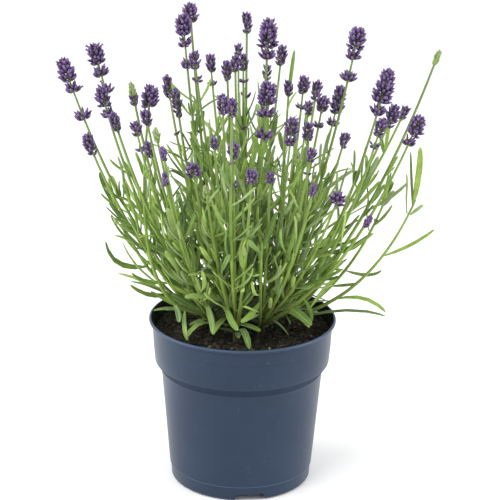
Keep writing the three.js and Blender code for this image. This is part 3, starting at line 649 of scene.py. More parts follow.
class Finish:
    """A material put together node by node."""

    def __init__(self, name, roughness, specular, **sockets):
        self.material = bpy.data.materials.new(name)
        self.material.use_nodes = True
        self.tree = self.material.node_tree
        self.shader = self.tree.nodes["Principled BSDF"]
        self.shader.inputs["Roughness"].default_value = roughness
        self.shader.inputs["Specular IOR Level"].default_value = specular
        for socket, value in sockets.items():
            self.shader.inputs[socket.replace("_", " ")].default_value = value

    def step(self, kind, **inputs):
        """A new node, with plain values set and the outputs of other nodes linked to its inputs."""
        step = self.tree.nodes.new("ShaderNode" + kind)
        for socket, value in inputs.items():
            self.put(value, step, socket.replace("_", " "))
        return step

    def put(self, value, step, socket):
        if isinstance(value, (int, float, tuple)):
            step.inputs[socket].default_value = value
        else:
            self.tree.links.new(value, step.inputs[socket])

    def place(self):
        return self.step("TexCoord").outputs["Object"]

    def split(self, value):
        return self.step("SeparateXYZ", Vector=value).outputs

    def map(self):
        """Across and along the piece's own map."""
        parts = self.split(self.step("TexCoord").outputs["UV"])
        return parts["X"], parts["Y"]

    def tint(self, channel):
        """What each copy carries: its own draw in Red, and its height in Blue."""
        source = self.step("Attribute")
        source.attribute_name = "tint"
        return self.step("SeparateColor", Color=source.outputs["Color"]).outputs[channel]

    def noise(self, scale, detail=3, roughness=0.55, stretch=None):
        place = self.place()
        if stretch:
            place = self.step("Mapping", Scale=stretch, Vector=place).outputs["Vector"]
        source = self.step("TexNoise", Scale=scale, Detail=detail, Roughness=roughness, Vector=place)
        return source.outputs["Fac"]

    def cells(self, scale):
        return self.step("TexVoronoi", Scale=scale, Vector=self.place()).outputs["Distance"]

    def math(self, operation, *values):
        step = self.step("Math")
        step.operation = operation
        for socket, value in enumerate(values):
            self.put(value, step, socket)
        return step.outputs[0]

    def off(self, value, middle):
        """How far a value is from a middle one, to either side."""
        return self.math("ABSOLUTE", self.math("SUBTRACT", value, middle))

    def ranged(self, value, low, high, out_low, out_high):
        step = self.step(
            "MapRange", Value=value, From_Min=low, From_Max=high, To_Min=out_low, To_Max=out_high,
        )
        step.interpolation_type = "SMOOTHSTEP"
        return step.outputs["Result"]

    def ramp(self, value, *stops):
        step = self.step("ValToRGB", Fac=value)
        elements = step.color_ramp.elements
        while len(elements) < len(stops):
            elements.new(0.5)
        for element, (position, shade) in zip(elements, stops):
            element.position = position
            element.color = shade
        return step.outputs["Color"]

    def mix(self, factor, first, second, blend="MIX"):
        step = self.step("Mix")
        step.data_type = "RGBA"
        step.blend_type = blend
        for socket, value in ((0, factor), (6, first), (7, second)):
            self.put(value, step, socket)
        return step.outputs[2]

    def mottled(self, shade, value, *stops):
        """A shade made darker and lighter by a ramp of multipliers."""
        return self.mix(1.0, shade, self.ramp(value, *stops), "MULTIPLY")

    def base(self, shade):
        self.put(shade, self.shader, "Base Color")

    def bump(self, value, distance, strength):
        step = self.step("Bump", Height=value, Distance=distance, Strength=strength)
        self.put(step.outputs["Normal"], self.shader, "Normal")

    def from_axis(self, place):
        """How far a place is from the axis of the pot."""
        squares = [self.math("POWER", place[axis], 2) for axis in ("X", "Y")]
        return self.math("SQRT", self.math("ADD", *squares))

    def depth(self, share):
        """How deep inside the plant a place is, low down and near the axis: the share of painted shade there.
        """
        place = self.split(self.place())
        inner = self.ranged(self.from_axis(place), *DEEP_RADII, share, 0.0)
        return self.math("MULTIPLY", inner, self.ranged(place["Z"], *DEEP_HEIGHTS, 1.0, 0.0))


def grey(share):
    return (share, share, share, 1)


def leaf_green():
    """Green blades, each a little different, with a paler midrib, margin and foot, and painted shade deep
    inside the plant.
    """
    finish = Finish("leaf green", 0.55, 0.35, Sheen_Weight=0.12, Sheen_Roughness=0.5)
    side, along = finish.map()
    shade = finish.ramp(
        finish.tint("Red"), (0.0, colour(78, 106, 48)), (0.35, colour(118, 150, 58)),
        (0.7, colour(152, 180, 78)), (1.0, colour(140, 158, 112)),
    )
    off_middle = finish.off(side, 0.5)
    shade = finish.mix(finish.ranged(off_middle, 0.02, 0.07, 0.45, 0.0), shade, colour(176, 200, 134))
    shade = finish.mix(finish.ranged(off_middle, 0.4, 0.5, 0.0, 0.25), shade, colour(160, 186, 128))
    shade = finish.mix(finish.ranged(along, 0.0, 0.3, 0.35, 0.0), shade, colour(150, 184, 96))
    shade = finish.mottled(shade, finish.noise(220, 4), (0.25, grey(0.72)), (0.75, grey(1.15)))
    # Painted shade: blades deep inside the plant are mixed towards a dark green.
    finish.base(finish.mix(finish.depth(0.75), shade, colour(44, 66, 24)))
    finish.bump(finish.noise(1600, 3), 0.0002, 0.35)
    return finish.material


def stalk_green():
    """Square stalks, green with a grey bloom, finely ridged, with painted shade deep inside the plant."""
    finish = Finish("stalk green", 0.6, 0.3)
    shade = finish.ramp(
        finish.tint("Blue"), (0.34, colour(96, 108, 50)), (0.5, colour(134, 162, 70)),
        (0.75, colour(118, 142, 72)), (1.0, colour(102, 116, 78)),
    )
    streaks = finish.noise(260, 3, stretch=(1, 1, 0.25))
    shade = finish.mottled(shade, streaks, (0.3, grey(0.75)), (0.7, grey(1.1)))
    # Painted shade: stalks deep inside the plant are mixed towards a dark olive.
    finish.base(finish.mix(finish.depth(0.5), shade, colour(50, 62, 24)))
    finish.bump(finish.noise(1500, 2, stretch=(1, 1, 0.1)), 0.0002, 0.4)
    return finish.material


def bark_brown():
    """The woody foot of a plant: grey-brown bark in strips."""
    finish = Finish("bark brown", 0.85, 0.2)
    strips = finish.noise(420, 5, stretch=(1, 1, 0.16))
    finish.base(finish.ramp(
        strips, (0.3, colour(30, 28, 18)), (0.5, colour(56, 54, 34)), (0.7, colour(92, 90, 60)),
    ))
    finish.bump(strips, 0.0008, 0.8)
    return finish.material


def calyx_violet():
    """Felted flower cups: grey-green at the foot, dark violet, lighter at the mouth."""
    finish = Finish("calyx violet", 0.75, 0.2, Sheen_Weight=0.15, Sheen_Roughness=0.4)
    finish.shader.inputs["Sheen Tint"].default_value = colour(180, 165, 205)
    _, along = finish.map()
    cup = finish.ramp(
        along, (0.0, colour(122, 146, 66)), (0.24, colour(108, 110, 80)), (0.38, colour(60, 42, 70)),
        (0.56, colour(74, 54, 92)), (0.78, colour(110, 90, 134)), (0.95, colour(122, 102, 148)),
        (1.0, colour(78, 60, 94)),
    )
    shade = finish.mottled(
        cup, finish.tint("Red"), (0.0, (0.62, 0.6, 0.66, 1)), (0.5, grey(0.95)), (1.0, (1.4, 1.34, 1.3, 1)),
    )
    fuzz = finish.noise(2600, 3)
    shade = finish.mix(finish.ranged(finish.noise(520, 2), 0.52, 0.7, 0.0, 0.4), shade, colour(124, 106, 144))
    shade = finish.mix(finish.ranged(fuzz, 0.5, 0.75, 0.0, 0.35), shade, colour(136, 124, 150))
    finish.base(shade)
    finish.bump(fuzz, 0.0003, 0.7)
    return finish.material


def coloured_along(finish, grain, strength, *stops):
    """A small part coloured from its foot to its tip, with a fine grain."""
    _, along = finish.map()
    finish.base(finish.ramp(along, *stops))
    finish.bump(finish.noise(grain, 2), 0.0002, strength)
    return finish.material


def petal_violet():
    """Open flowers: pale violet petals, deeper towards the throat."""
    return coloured_along(
        Finish("petal violet", 0.55, 0.25, Sheen_Weight=0.2), 2200, 0.4,
        (0.0, colour(84, 62, 116)), (0.55, colour(108, 84, 144)), (1.0, colour(128, 104, 164)),
    )


def bract_green():
    """Small papery leaves under each ring of flowers."""
    return coloured_along(
        Finish("bract green", 0.7, 0.25), 2000, 0.5,
        (0.0, colour(130, 160, 70)), (0.6, colour(126, 150, 78)), (1.0, colour(110, 100, 96)),
    )


def bud_green():
    """Cups and bracts of a bud that hasn't coloured yet: pale grey-green, greyer at the tip."""
    return coloured_along(
        Finish("bud green", 0.7, 0.25), 2400, 0.5,
        (0.0, colour(118, 148, 66)), (0.6, colour(138, 164, 86)), (1.0, colour(146, 142, 130)),
    )


def pot_plastic(name, roughness, specular):
    """Slate-blue moulded plastic with fine grain, faint clouding and flecks, painted shade on the inner edge
    of the lip, a painted highlight along the top of the rim, and a paler line at the foot.
    """
    finish = Finish(name, roughness, specular)
    finish.shader.inputs["Specular Tint"].default_value = colour(214, 230, 255)
    cloud = finish.noise(14, 4, 0.6)
    shade = finish.ramp(cloud, (0.3, colour(32, 43, 61)), (0.7, colour(38, 51, 71)))
    fleck = finish.math("MULTIPLY", finish.ranged(finish.cells(620), 0.08, 0.2, 0.3, 0.0),
                        finish.ranged(finish.noise(130, 2), 0.58, 0.62, 0.0, 1.0))
    shade = finish.mix(fleck, shade, colour(140, 152, 168))
    place = finish.split(finish.place())
    # Painted shade: the inner edge of the lip, over the soil, is made nearly black.
    inside = finish.ranged(finish.from_axis(place), *INNER_EDGE_RADII, 1.0, 0.0)
    high = finish.ranged(place["Z"], *INNER_EDGE_HEIGHTS, 0.0, 1.0)
    shade = finish.mix(finish.math("MULTIPLY", inside, high), shade, colour(12, 12, 11))
    # Painted highlight: the top of the rim is mixed towards a paler blue.
    shade = finish.mix(finish.ranged(place["Z"], *RIM_HIGHLIGHT_HEIGHTS, 0.0, 0.28), shade, colour(92, 112, 146))
    line = finish.off(place["Z"], FOOT_LINE_Z * MM)
    shade = finish.mix(finish.ranged(line, *FOOT_LINE_FADE, 0.24, 0.0), shade, colour(118, 138, 172))
    finish.base(shade)
    finish.bump(finish.noise(2400, 2), 0.00008, 0.3)
    return finish.material


def inner_wall_shade_plastic():
    """The inside of the pot above the soil, dull and dark with painted shade."""
    finish = Finish("inner wall shade plastic", 0.95, 0.05)
    # Painted shade: the inner wall is coloured near black, blotched by noise.
    finish.base(finish.ramp(finish.noise(300, 5, 0.6), (0.35, colour(22, 21, 19)), (0.7, colour(44, 42, 38))))
    return finish.material


def peat_brown():
    """Damp peat: nearly black crumbs, some paler."""
    finish = Finish("peat brown", 0.9, 0.25)
    grain = finish.noise(420, 6, 0.7)
    finish.base(finish.ramp(
        grain, (0.34, colour(15, 14, 12)), (0.5, colour(37, 35, 29)), (0.66, colour(84, 79, 64)),
    ))
    finish.bump(finish.noise(1300, 5, 0.7), 0.0012, 0.9)
    return finish.material


def bit_tan():
    """Pale splinters of bark and fibre among the peat."""
    finish = Finish("fibre tan", 0.8, 0.25)
    finish.base(finish.ramp(
        finish.tint("Red"), (0.0, colour(74, 70, 52)), (0.5, colour(104, 100, 74)),
        (1.0, colour(140, 136, 104)),
    ))
    finish.bump(finish.noise(1500, 3), 0.0004, 0.7)
    return finish.material


# Finer leaves, which the solids leave out: more joints, and small leaves in the axils. The plant is
# leafy in its middle and airy at its sides, and leaves keep within an outline that widens upwards.
JOINT_SPACING = 15
LEAFY_SHARE = 0.7
FLANK_LEAFY_SHARE = 0.56
SHOOT_LEAFY_SHARE = 0.97
LEAFY_TO_AIRY = (50, 95)
JOINT_SPACINGS = (0.75, 1.3)
SHOOT_SPACING = 0.75
FIRST_FINE_JOINT = (12, 24)
LEAF_CURL = (-0.12, 0.08)
FREE_SHARE = 0.3
FINE_MARKS = np.linspace(FREE_SHARE, 1.0, 7)
FINE_TRIES = 7
FINE_RADIUS = 1.0
FINE_SHARE = 0.6
FINE_SPREAD = 0.35
FINE_OPENINGS = (0.5, 1.45)
FINE_BEND = (-0.1, 0.46)
FINE_CURL = (-0.14, 0.1)
FINE_WIDTHS = (0.75, 1.15)
FINE_LENGTHS = (0.75, 1.2)
NEARBY = 10

# Measures of a fine leaf at the foot of its stem, and how much less each is at the tip
FINE_LENGTH = (39, 25)
SHOOT_FINE_LENGTH = (37, 18)
FINE_WIDTH = (3.6, 0.9)
FINE_OPENING = (0.98, 0.34)
BROAD_CHANCE = 0.1
BROAD = 1.5

# Small leaves in the axils of the others
AXIL_SHARE = 0.7
AXIL_SCATTER = 0.4
AXIL_LENGTH_SHARE = 0.42
AXIL_WIDTH = 2.5
AXIL_OPENING = 0.4

# How thick and slim the blades are, how many stay from left to right, and how many more higher up
LEAF_HALF_THICKNESS = 0.42
BLADE_SHARE = 0.86
FLANK_BLADE_SHARE = 0.72
MIDDLE_TO_FLANK = (50, 85)
BLADE_TWIST = 0.7
THINNING_LEFT_TO_RIGHT = (-105, -85, -70, -30, 25, 45, 62, 105)
THINNING_SHARES = (0.05, 0.08, 0.4, 0.9, 0.8, 0.35, 0.08, 0.05)
FILLING_HEIGHTS = (172, 212)
FILLING_SHARES = (0, 0.4)
LOW_INSET = 18

# Stalks at the front that no fine leaf may hide
FRONT_STALKS = (2, 30, 31, 46, 52)
FRONT_CLEAR = 3.6
FRONT_GAP = 2
SIGHT_SLOPE = 0.357

# Small leaves round the foot of each plant
BASAL_LEAVES = 5
BASAL_MARKS = np.linspace(FREE_SHARE, 1.0, 6)
BASAL_RISE = (0.1, 0.9)
BASAL_PLACES = (0.1, 1.0)
BASAL_BEND = (-0.75, -0.2)
BASAL_CURL = (-0.1, 0.05)
BASAL_WIDTHS = (2.6, 5.0)
BASAL_LENGTHS = (15, 34)
BASAL_OVER_SOIL = 2.4
BASAL_REACH = 57
BASAL_OVER_RIM = 1.2
BASAL_CLEAR_SHARE = 0.5
BASAL_TWIST = 0.5
BASAL_SHADE = 0.35

# Single leaves that stand out of the mass: root, pull, tip and width
SINGLE_LEAVES = [
    ((-67, 0, 152), (-92, -7, 152), (-94, -14, 177), 5.2),
    ((-57, -5, 143), (-71, -12, 145), (-76, -18, 156), 3.6),
    ((-57, -8, 128), (-66, -14, 134), (-77, -20, 148), 4.0),
    ((-78, 5, 167), (-87, 0, 179), (-91, -6, 193), 3.6),
    ((-78, 5, 199), (-88, 2, 204), (-88, 0, 214), 3.0),
    ((-62, -10, 161), (-74, -16, 179), (-75, -22, 193), 5.0),
    ((-58, -12, 161), (-46, -21, 171), (-33, -30, 189), 3.6),
    ((100, 0, 169), (117, -5, 173), (130, -10, 188), 3.2),
    ((64, -5, 140), (85, -12, 143), (98, -20, 131), 3.0),
    ((70, 0, 152), (89, -4, 148), (95, -8, 157), 2.8),
    ((56, -4, 168), (74, -10, 169), (85, -16, 185), 5.0),
    ((59, 0, 171), (73, -4, 173), (79, -8, 182), 3.0),
    ((49, -8, 159), (59, -13, 161), (67, -18, 160), 2.8),
    ((45, -8, 152), (57, -12, 149), (66, -16, 155), 2.6),
    ((88, 0, 196), (102, -4, 207), (111, -8, 221), 3.4),
    ((91, 0, 186), (98, -2, 194), (101, -4, 203), 3.2),
    ((115, 0, 211), (112, -2, 228), (112, -4, 241), 4.2),
    ((115, 0, 211), (120, 2, 225), (119, 4, 242), 4.4),
    ((98, 62, 220), (96, 64, 228), (95, 66, 236), 2.8),
    ((98, 62, 220), (101, 64, 232), (101, 66, 248), 2.8),
    ((66, 0, 138), (74, -2, 143), (79, -5, 146), 2.6),
    ((28, -18, 138), (36, -26, 134), (47, -34, 126), 6.0),
    ((46, -20, 138), (49, -25, 134), (47, -30, 127), 3.2),
    ((-46, -22, 134), (-42, -27, 130), (-43, -32, 126), 4.4),
    ((-38, -30, 132), (-40, -34, 123), (-37, -38, 115), 3.8),
    ((-24, -28, 142), (-19, -36, 130), (-20, -44, 123), 4.6),
    ((-14, -34, 139), (-9, -41, 133), (-3, -48, 127), 4.4),
    ((9, -40, 141), (4, -45, 133), (-1, -50, 134), 4.0),
    ((-19, -36, 144), (-27, -39, 150), (-39, -42, 148), 4.4),
    ((10, -40, 165), (13, -43, 174), (19, -46, 186), 7.2),
    ((-18, -40, 169), (-9, -49, 172), (-1, -58, 184), 3.6),
    ((-17, -40, 170), (-14, -46, 179), (-10, -52, 193), 3.6),
    ((-18, -40, 167), (-23, -47, 171), (-29, -54, 171), 3.6),
    ((-20, -36, 185), (-32, -43, 195), (-38, -50, 205), 3.8),
    ((-20, -36, 186), (-10, -43, 195), (-2, -50, 208), 2.6),
]
SINGLE_LEAF_ROLL = 0.7
LOW_LEAF_Z = 130
LOW_LEAF_SHADE = 0.4

# Leaves that reach up among the flower heads
TOP_LEAVES = [
    ((-1, 20, 245), (-6, 19, 261), (-4, 16, 275), 4.6),
    ((0, 36, 243), (5, 33, 249), (6, 30, 258), 3.4),
    ((29, 42, 262), (31, 43, 280), (33, 44, 298), 2.8),
    ((-31, 23, 245), (-32, 22, 252), (-29, 20, 261), 3.6),
    ((29, 41, 255), (30, 40, 263), (35, 38, 270), 1.8),
]


def clear_nearby(taken, places, radius, share):
    """Whether balls at these places clear, by a share, all that is taken near them."""
    middle = places.mean(axis=0)
    reach = np.linalg.norm(places - middle, axis=1).max() + radius + NEARBY
    near = np.linalg.norm(taken.place[: taken.count] - middle, axis=1) < reach
    held = taken.place[: taken.count][near]
    room = (taken.radius[: taken.count][near] + radius) * share
    apart = np.linalg.norm(held[None] - places[:, None], axis=2)
    return bool((apart > room).all())


def seen(places):
    """Across and up, as places stand behind one another for an eye in front and a little above."""
    return places[:, [0, 2]] + places[:, [1]] * (0, SIGHT_SLOPE)


def stands_in_front(places, stalks):
    """Whether a leaf would hide one of the stalks that stand out at the front."""
    apart = np.linalg.norm(seen(places)[:, None] - seen(stalks)[None], axis=2)
    nearer = places[:, None, 1] < stalks[None, :, 1] - FRONT_GAP
    return bool(((apart < FRONT_CLEAR) & nearer).any())


def falling(start, fall, up):
    """A measure that gets less from the foot of a stem to its tip."""
    return start - fall * up


def grow_fine_leaf(stem, distance, side, taken, draw, size, width, opening):
    """One of the leaves that the solids leave out, or none where there is no room for it."""
    place = stem.path.at(distance)
    share = np.interp(place[0], THINNING_LEFT_TO_RIGHT, THINNING_SHARES)
    share += (1 - share) * np.interp(place[2], FILLING_HEIGHTS, FILLING_SHARES)
    if draw(0, 1) > share:
        return None
    for attempt in range(FINE_TRIES):
        leaf = leaf_at(
            stem, distance, side, draw(-FINE_SPREAD, FINE_SPREAD) * (1 + attempt / 2),
            opening * draw(*FINE_OPENINGS), draw(*FINE_BEND), width * draw(*FINE_WIDTHS),
            size * draw(*FINE_LENGTHS) * (1 - SHORTER_EACH_TRY * attempt),
        )
        leaf.curl = draw(*FINE_CURL)
        places = leaf_line(leaf, FINE_MARKS)
        if not within_outline(places, inset=LOW_INSET) or not clear_of_pot(places, FINE_RADIUS):
            continue
        if stands_in_front(places, taken.front):
            continue
        if clear_nearby(taken, places, FINE_RADIUS, FINE_SHARE):
            taken.add(places, FINE_RADIUS, stem.plant.index, stem.index)
            return leaf
    return None


def grow_single_leaves(stems, taken, leaves):
    """The leaves that stand out, each on the stalk that its root is nearest to."""
    stalks = [stem for stem in stems if stem.kind != "arched"]
    grown = []
    for root, pull, tip, width in leaves:
        root, pull, tip = (np.array(place, float) for place in (root, pull, tip))
        stem = min(stalks, key=lambda one: np.linalg.norm(one.path.points - root, axis=1).min())
        nearest = np.linalg.norm(stem.path.points - root, axis=1).argmin()
        path = Path(stem.path.points[nearest], pull, tip)
        outward = unit((tip - root) * np.array((1, 1, 0)))
        guide = np.cross(UP, outward)
        roll = SINGLE_LEAF_ROLL * np.sign(tip[0] - root[0])
        grown.append(SimpleNamespace(plant=stem.plant, path=path, guide=guide, width=width, roll=roll))
        marks = np.arange(path.length * FREE_SHARE, path.length, WALK)
        taken.add(path.at(marks), width / 2, stem.plant.index, stem.index)
    return grown


def basal_leaf(plant, draw):
    """A leaf that grows out from the foot of a plant and hangs."""
    angle = draw(0, 2 * math.pi)
    out = np.array((math.cos(angle), math.sin(angle), 0))
    rise = draw(*BASAL_RISE)
    way = turned_towards(out, UP, rise)
    face = UP * math.cos(rise) - out * math.sin(rise)
    root = plant.root + (plant.crown - plant.root) * draw(*BASAL_PLACES)
    bend = draw(*BASAL_BEND)
    curl = draw(*BASAL_CURL)
    width = draw(*BASAL_WIDTHS)
    length = draw(*BASAL_LENGTHS)
    return SimpleNamespace(root=root, way=way, face=face, bend=bend, curl=curl, width=width, length=length)


def grow_basal_leaves(plants, taken):
    """Small leaves round the foot of each plant, which hang out over the soil."""
    draw = draws_from(FINE_SEED + 3)
    for plant in plants:
        for _ in range(BASAL_LEAVES * FINE_TRIES):
            if len(plant.basal_leaves) == BASAL_LEAVES:
                break
            leaf = basal_leaf(plant, draw)
            places = leaf_line(leaf, BASAL_MARKS)
            inside = np.hypot(places[:, 0], places[:, 1]) < BASAL_REACH
            over_soil = (places[:, 2] > SOIL_Z + BASAL_OVER_SOIL) & inside
            if not (over_soil | (places[:, 2] > POT_HEIGHT + BASAL_OVER_RIM)).all():
                continue
            if clear_nearby(taken, places, FINE_RADIUS, BASAL_CLEAR_SHARE):
                taken.add(places, FINE_RADIUS, plant.index)
                plant.basal_leaves.append(leaf)


def grow_fine_leaves(stems, taken):
    """Leaf pairs all the way up the leafy part of each stem, with small leaves in their axils."""
    draw = draws_from(FINE_SEED)
    taken.front = np.concatenate([stems[i].path.points for i in FRONT_STALKS])
    for stem in stems:
        stem.fine_leaves = []
        for joint in stem.joints:
            for leaf in joint.leaves:
                leaf.curl = draw(*LEAF_CURL)
        if stem.kind == "arched":
            continue
        shoot = stem.kind == "shoot"
        leafy = np.interp(abs(stem.tip[0]), LEAFY_TO_AIRY, (LEAFY_SHARE, FLANK_LEAFY_SHARE))
        top = stem.path.length * (SHOOT_LEAFY_SHARE if shoot else leafy)
        distance = draw(*FIRST_FINE_JOINT)
        side = 0
        while distance < top:
            up = distance / stem.path.length
            size = falling(*(SHOOT_FINE_LENGTH if shoot else FINE_LENGTH), up)
            wide = falling(*FINE_WIDTH, up) * (BROAD if draw(0, 1) < BROAD_CHANCE else 1)
            opening = falling(*FINE_OPENING, up)
            for one in (side, side + 2):
                leaf = grow_fine_leaf(stem, distance, one, taken, draw, size, wide, opening)
                stem.fine_leaves.append(leaf)
                if draw(0, 1) < AXIL_SHARE:
                    aside = one + draw(-AXIL_SCATTER, AXIL_SCATTER)
                    leaf = grow_fine_leaf(stem, distance + 1, aside, taken, draw,
                                          size * AXIL_LENGTH_SHARE, AXIL_WIDTH, AXIL_OPENING)
                    stem.fine_leaves.append(leaf)
            side = 1 - side
            distance += JOINT_SPACING * draw(*JOINT_SPACINGS) * (SHOOT_SPACING if shoot else 1)
        stem.fine_leaves = [leaf for leaf in stem.fine_leaves if leaf]


def leaf_master(material):
    """A narrow blunt leaf: grooved along its midrib, its margins raised."""
    piece = drawn_out("leaf", 8, [
        (0, 0.3, 1.2), (0.07, 0.44, 1.2), (0.22, 0.8, 1.1), (0.42, 0.98, 1), (0.62, 1, 1),
        (0.82, 0.92, 0.9), (0.94, 0.7, 0.8), (0.985, 0.42, 0.6), (1, 0.14, 0.3),
    ])
    places = coordinates(piece)
    middle = (np.abs(places[:, 0]) < 0.01) & (places[:, 1] > 0)
    places[middle, 1] *= 0.1
    places[:, 1] += 1.5 * places[:, 0] ** 2
    set_coordinates(piece, places)
    return finish_master(piece, material)


def stalk_master(name, material, steps):
    """A square stalk with rubbed corners."""
    piece = drawn_out(name, 4, [(i / steps, 1, 1) for i in range(steps + 1)], chamfer=0.22)
    return finish_master(piece, material)


def cup_master(material):
    """A flower cup: a swollen six-sided tube with the closed flower showing at its mouth."""
    piece = drawn_out("cup", 6, [
        (0, 0.38, 0.38), (0.14, 0.66, 0.66), (0.34, 0.92, 0.92), (0.54, 1, 1), (0.74, 0.84, 0.84),
        (0.9, 0.5, 0.5), (1, 0.14, 0.14),
    ])
    return finish_master(piece, material)


def flower_master(material):
    """An open flower: a tube that flares into five lobes round a throat."""
    piece = drawn_out("flower", 10, [
        (0, 0.4, 0.4), (0.5, 0.44, 0.44), (0.75, 0.62, 0.62), (0.95, 1, 1), (1, 0.9, 0.9),
        (0.86, 0.42, 0.42), (0.66, 0.2, 0.2),
    ])
    places = coordinates(piece)
    angle = np.arctan2(places[:, 1], places[:, 0])
    rim = np.hypot(places[:, 0], places[:, 1]) > 0.8
    lobes = 1 + 0.22 * np.cos(5 * angle)
    places[rim, :2] *= lobes[rim, None]
    set_coordinates(piece, places)
    return finish_master(piece, material)


def bract_master(material):
    piece = drawn_out("bract", 6, [(0, 0.35, 1), (0.35, 1, 1), (0.7, 0.62, 0.8), (1, 0.08, 0.3)])
    places = coordinates(piece)
    places[:, 1] += 1.2 * places[:, 0] ** 2
    set_coordinates(piece, places)
    return finish_master(piece, material)


def trunk_master(material):
    steps = 16
    piece = drawn_out("trunk", 12, [(i / steps, 1, 1) for i in range(steps + 1)])
    places = coordinates(piece)
    for place in places:
        swell = 1 + 0.22 * noise.noise(Vector((place[0] * 1.3, place[1] * 1.3, place[2] * 9)))
        place[:2] *= swell
    set_coordinates(piece, places)
    return finish_master(piece, material)


def lump_master(name, material, seed):
    """A crumb: a small ball knocked out of shape."""
    select_none()
    bpy.ops.mesh.primitive_ico_sphere_add(subdivisions=1, radius=1, location=(0, 0, 0))
    piece = bpy.context.object
    piece.name = name
    places = coordinates(piece)
    draw = draws_from(seed)
    for place in places:
        place *= draw(0.6, 1.15)
    set_coordinates(piece, places)
    return finish_master(piece, material)


def stalk_line(stem, first, last):
    """The run of a stem between two distances, turned as its square section is."""

    def line(t):
        distance = first + (last - first) * t
        way = stem.path.tangent(distance)
        e1, e2 = across(way, stem.guide)
        return stem.path.at(distance), way, turned_towards(e1, e2, stem.turn)

    return line


def blade_line(leaf, twist):
    """The run of a leaf, turned a little about its own length."""

    def line(t):
        way = unit(leaf.way + leaf.face * (2 * leaf.bend * t - 5 * leaf.curl * t ** 4)[:, None])
        right = unit(np.cross(leaf.face, way))
        face = np.cross(way, right)
        angle = (twist * t)[:, None]
        return leaf_line(leaf, t), way, right * np.cos(angle) + face * np.sin(angle)

    return line


def straight_line(root, way, right, length, bend, toward):
    """A short run that bends towards a direction."""

    def line(t):
        centre = root + way * (length * t)[:, None] + toward * (bend * length * t * t)[:, None]
        return centre, unit(way + toward * (2 * bend * t)[:, None]), np.broadcast_to(right, centre.shape)

    return line


def arched_line(leaf, roll=0.0):
    """The run of a leaf that follows a path of its own, rolled about its length."""

    def line(t):
        distance = leaf.path.length * t
        way = leaf.path.tangent(distance)
        right, face = across(way, leaf.guide)
        return leaf.path.at(distance), way, turned_towards(right, face, roll)

    return line


def fullness(t):
    """How full a spike is, from its foot to its tip."""
    return np.interp(t, (0, 0.3, 0.65, 1), (0.84, 1, 0.9, 0.56))


# From slim heads to full ones: width, spacing of the rows, how far the lowest cups open, and how much
# of the listed width the cups fill
SLIM_TO_FULL = (8, 12)
ROW_SPACINGS = (2.8, 2.35)
HEAD_OPENINGS = (0.74, 1.25)
HEAD_FILL = (0.88, 1)
HEAD_REACHES = (1.06, 1.22)
HEAD_CUPS = (2.2, 0.88)
HEAD_CLOSING = 0.45
HEAD_SHORTENING = 0.3
HEAD_TURN = 0.55
HEAD_TURN_SCATTER = 0.2
TOP_RING_CUP = 3.4
OPEN_FLOWER_CHANCE = 0.03
OPEN_FLOWER_WIDTH = 12

# Cups: their foot, and the ranges that make no two alike
CUP_WIDTH = 2.3
CUP_WIDTHS = (0.8, 1.08)
CUP_LENGTHS = (0.78, 1.1)
SHORTEST_CUP = 3.0
LONGEST_CUP = 6.4
CUP_FOOT = 0.4
CUP_FOOT_SHARE = 0.14
CUP_SCATTER = 0.3
CUP_OPENINGS = (0.7, 1.2)
CUP_SLIPS = (-0.8, 0.7)
CUP_BEND = 0.12
LEAST_SLANT = 0.35
SMALL_RING_SHARE = 0.6
FULL_RING_REACH = 6.5
FLOWER_LENGTHS = (2.0, 2.8)
FLOWER_HALF_WIDTHS = (0.9, 1.25)
FLOWER_PLACE = 0.8
TOP_CUP_HALF_WIDTH = 0.95
TOP_CUP_SHADE = 0.6

# Bracts
BRACT_OPENING = 0.9
BRACT_FOOT = 0.5
BRACT_BEND = 0.25
BRACT_WIDTH_SHARE = 0.4
BRACT_HALF_THICKNESS = 0.25

# Whorls that stand below a head
WHORL_REACH = 8.6
WHORL_WIDTH_SHARE = 0.92
WHORL_CUPS = (3.5, 0.8)
WHORL_OPENING = 1.02
SECOND_RING_WIDTH = 10
SECOND_RING_REACH = 0.75
SECOND_RING_OPENING = 0.62
LOOSE_WHORL_OPENING = 0.85

# From the middle of a square stalk to its corners: low down, below its flowers and among them
STALK_CORNER = STALK_HALF_WIDTH * 0.92 * math.sqrt(2)
STALK_TOP_CORNER = STALK_TOP_HALF_WIDTH * math.sqrt(2)
STALK_TIP_CORNER = STALK_TOP_CORNER * 0.7


def cups_round(start, more, reach):
    """How many cups stand round a ring of some reach."""
    return round(start + more * reach)


def ring_of_cups(parts, stem, distance, reach, cups, open_angle, turn, masters, draw, flowers,
                 longest=LONGEST_CUP):
    """A ring of flower cups round a stem, opened from it, no two alike."""
    way = stem.path.tangent(distance)
    e1, e2 = across(way, stem.guide)
    place = stem.path.at(distance)
    foot = CUP_FOOT + CUP_FOOT_SHARE * reach
    usual = max(SHORTEST_CUP, (reach - foot) / max(LEAST_SLANT, math.sin(open_angle)))
    fill = SMALL_RING_SHARE + (1 - SMALL_RING_SHARE) * min(1, reach / FULL_RING_REACH)
    for i in range(cups):
        out = turned_towards(e1, e2, turn + 2 * math.pi * (i + draw(-CUP_SCATTER, CUP_SCATTER)) / cups)
        axis = turned_towards(way, out, open_angle * draw(*CUP_OPENINGS))
        right = np.cross(way, out)
        length = min(usual * draw(*CUP_LENGTHS), longest)
        root = place + out * foot + way * draw(*CUP_SLIPS)
        half = CUP_WIDTH / 2 * draw(*CUP_WIDTHS) * fill
        line = straight_line(root, axis, right, length, CUP_BEND, way)
        parts.append(lay_round(masters.cup, line, constant(half), draw(0, 1)))
        if draw(0, 1) < flowers:
            mouth = root + axis * length * FLOWER_PLACE
            line = straight_line(mouth, axis, right, draw(*FLOWER_LENGTHS), 0.0, way)
            half = draw(*FLOWER_HALF_WIDTHS)
            parts.append(lay_round(masters.flower, line, constant(half), draw(0, 1)))


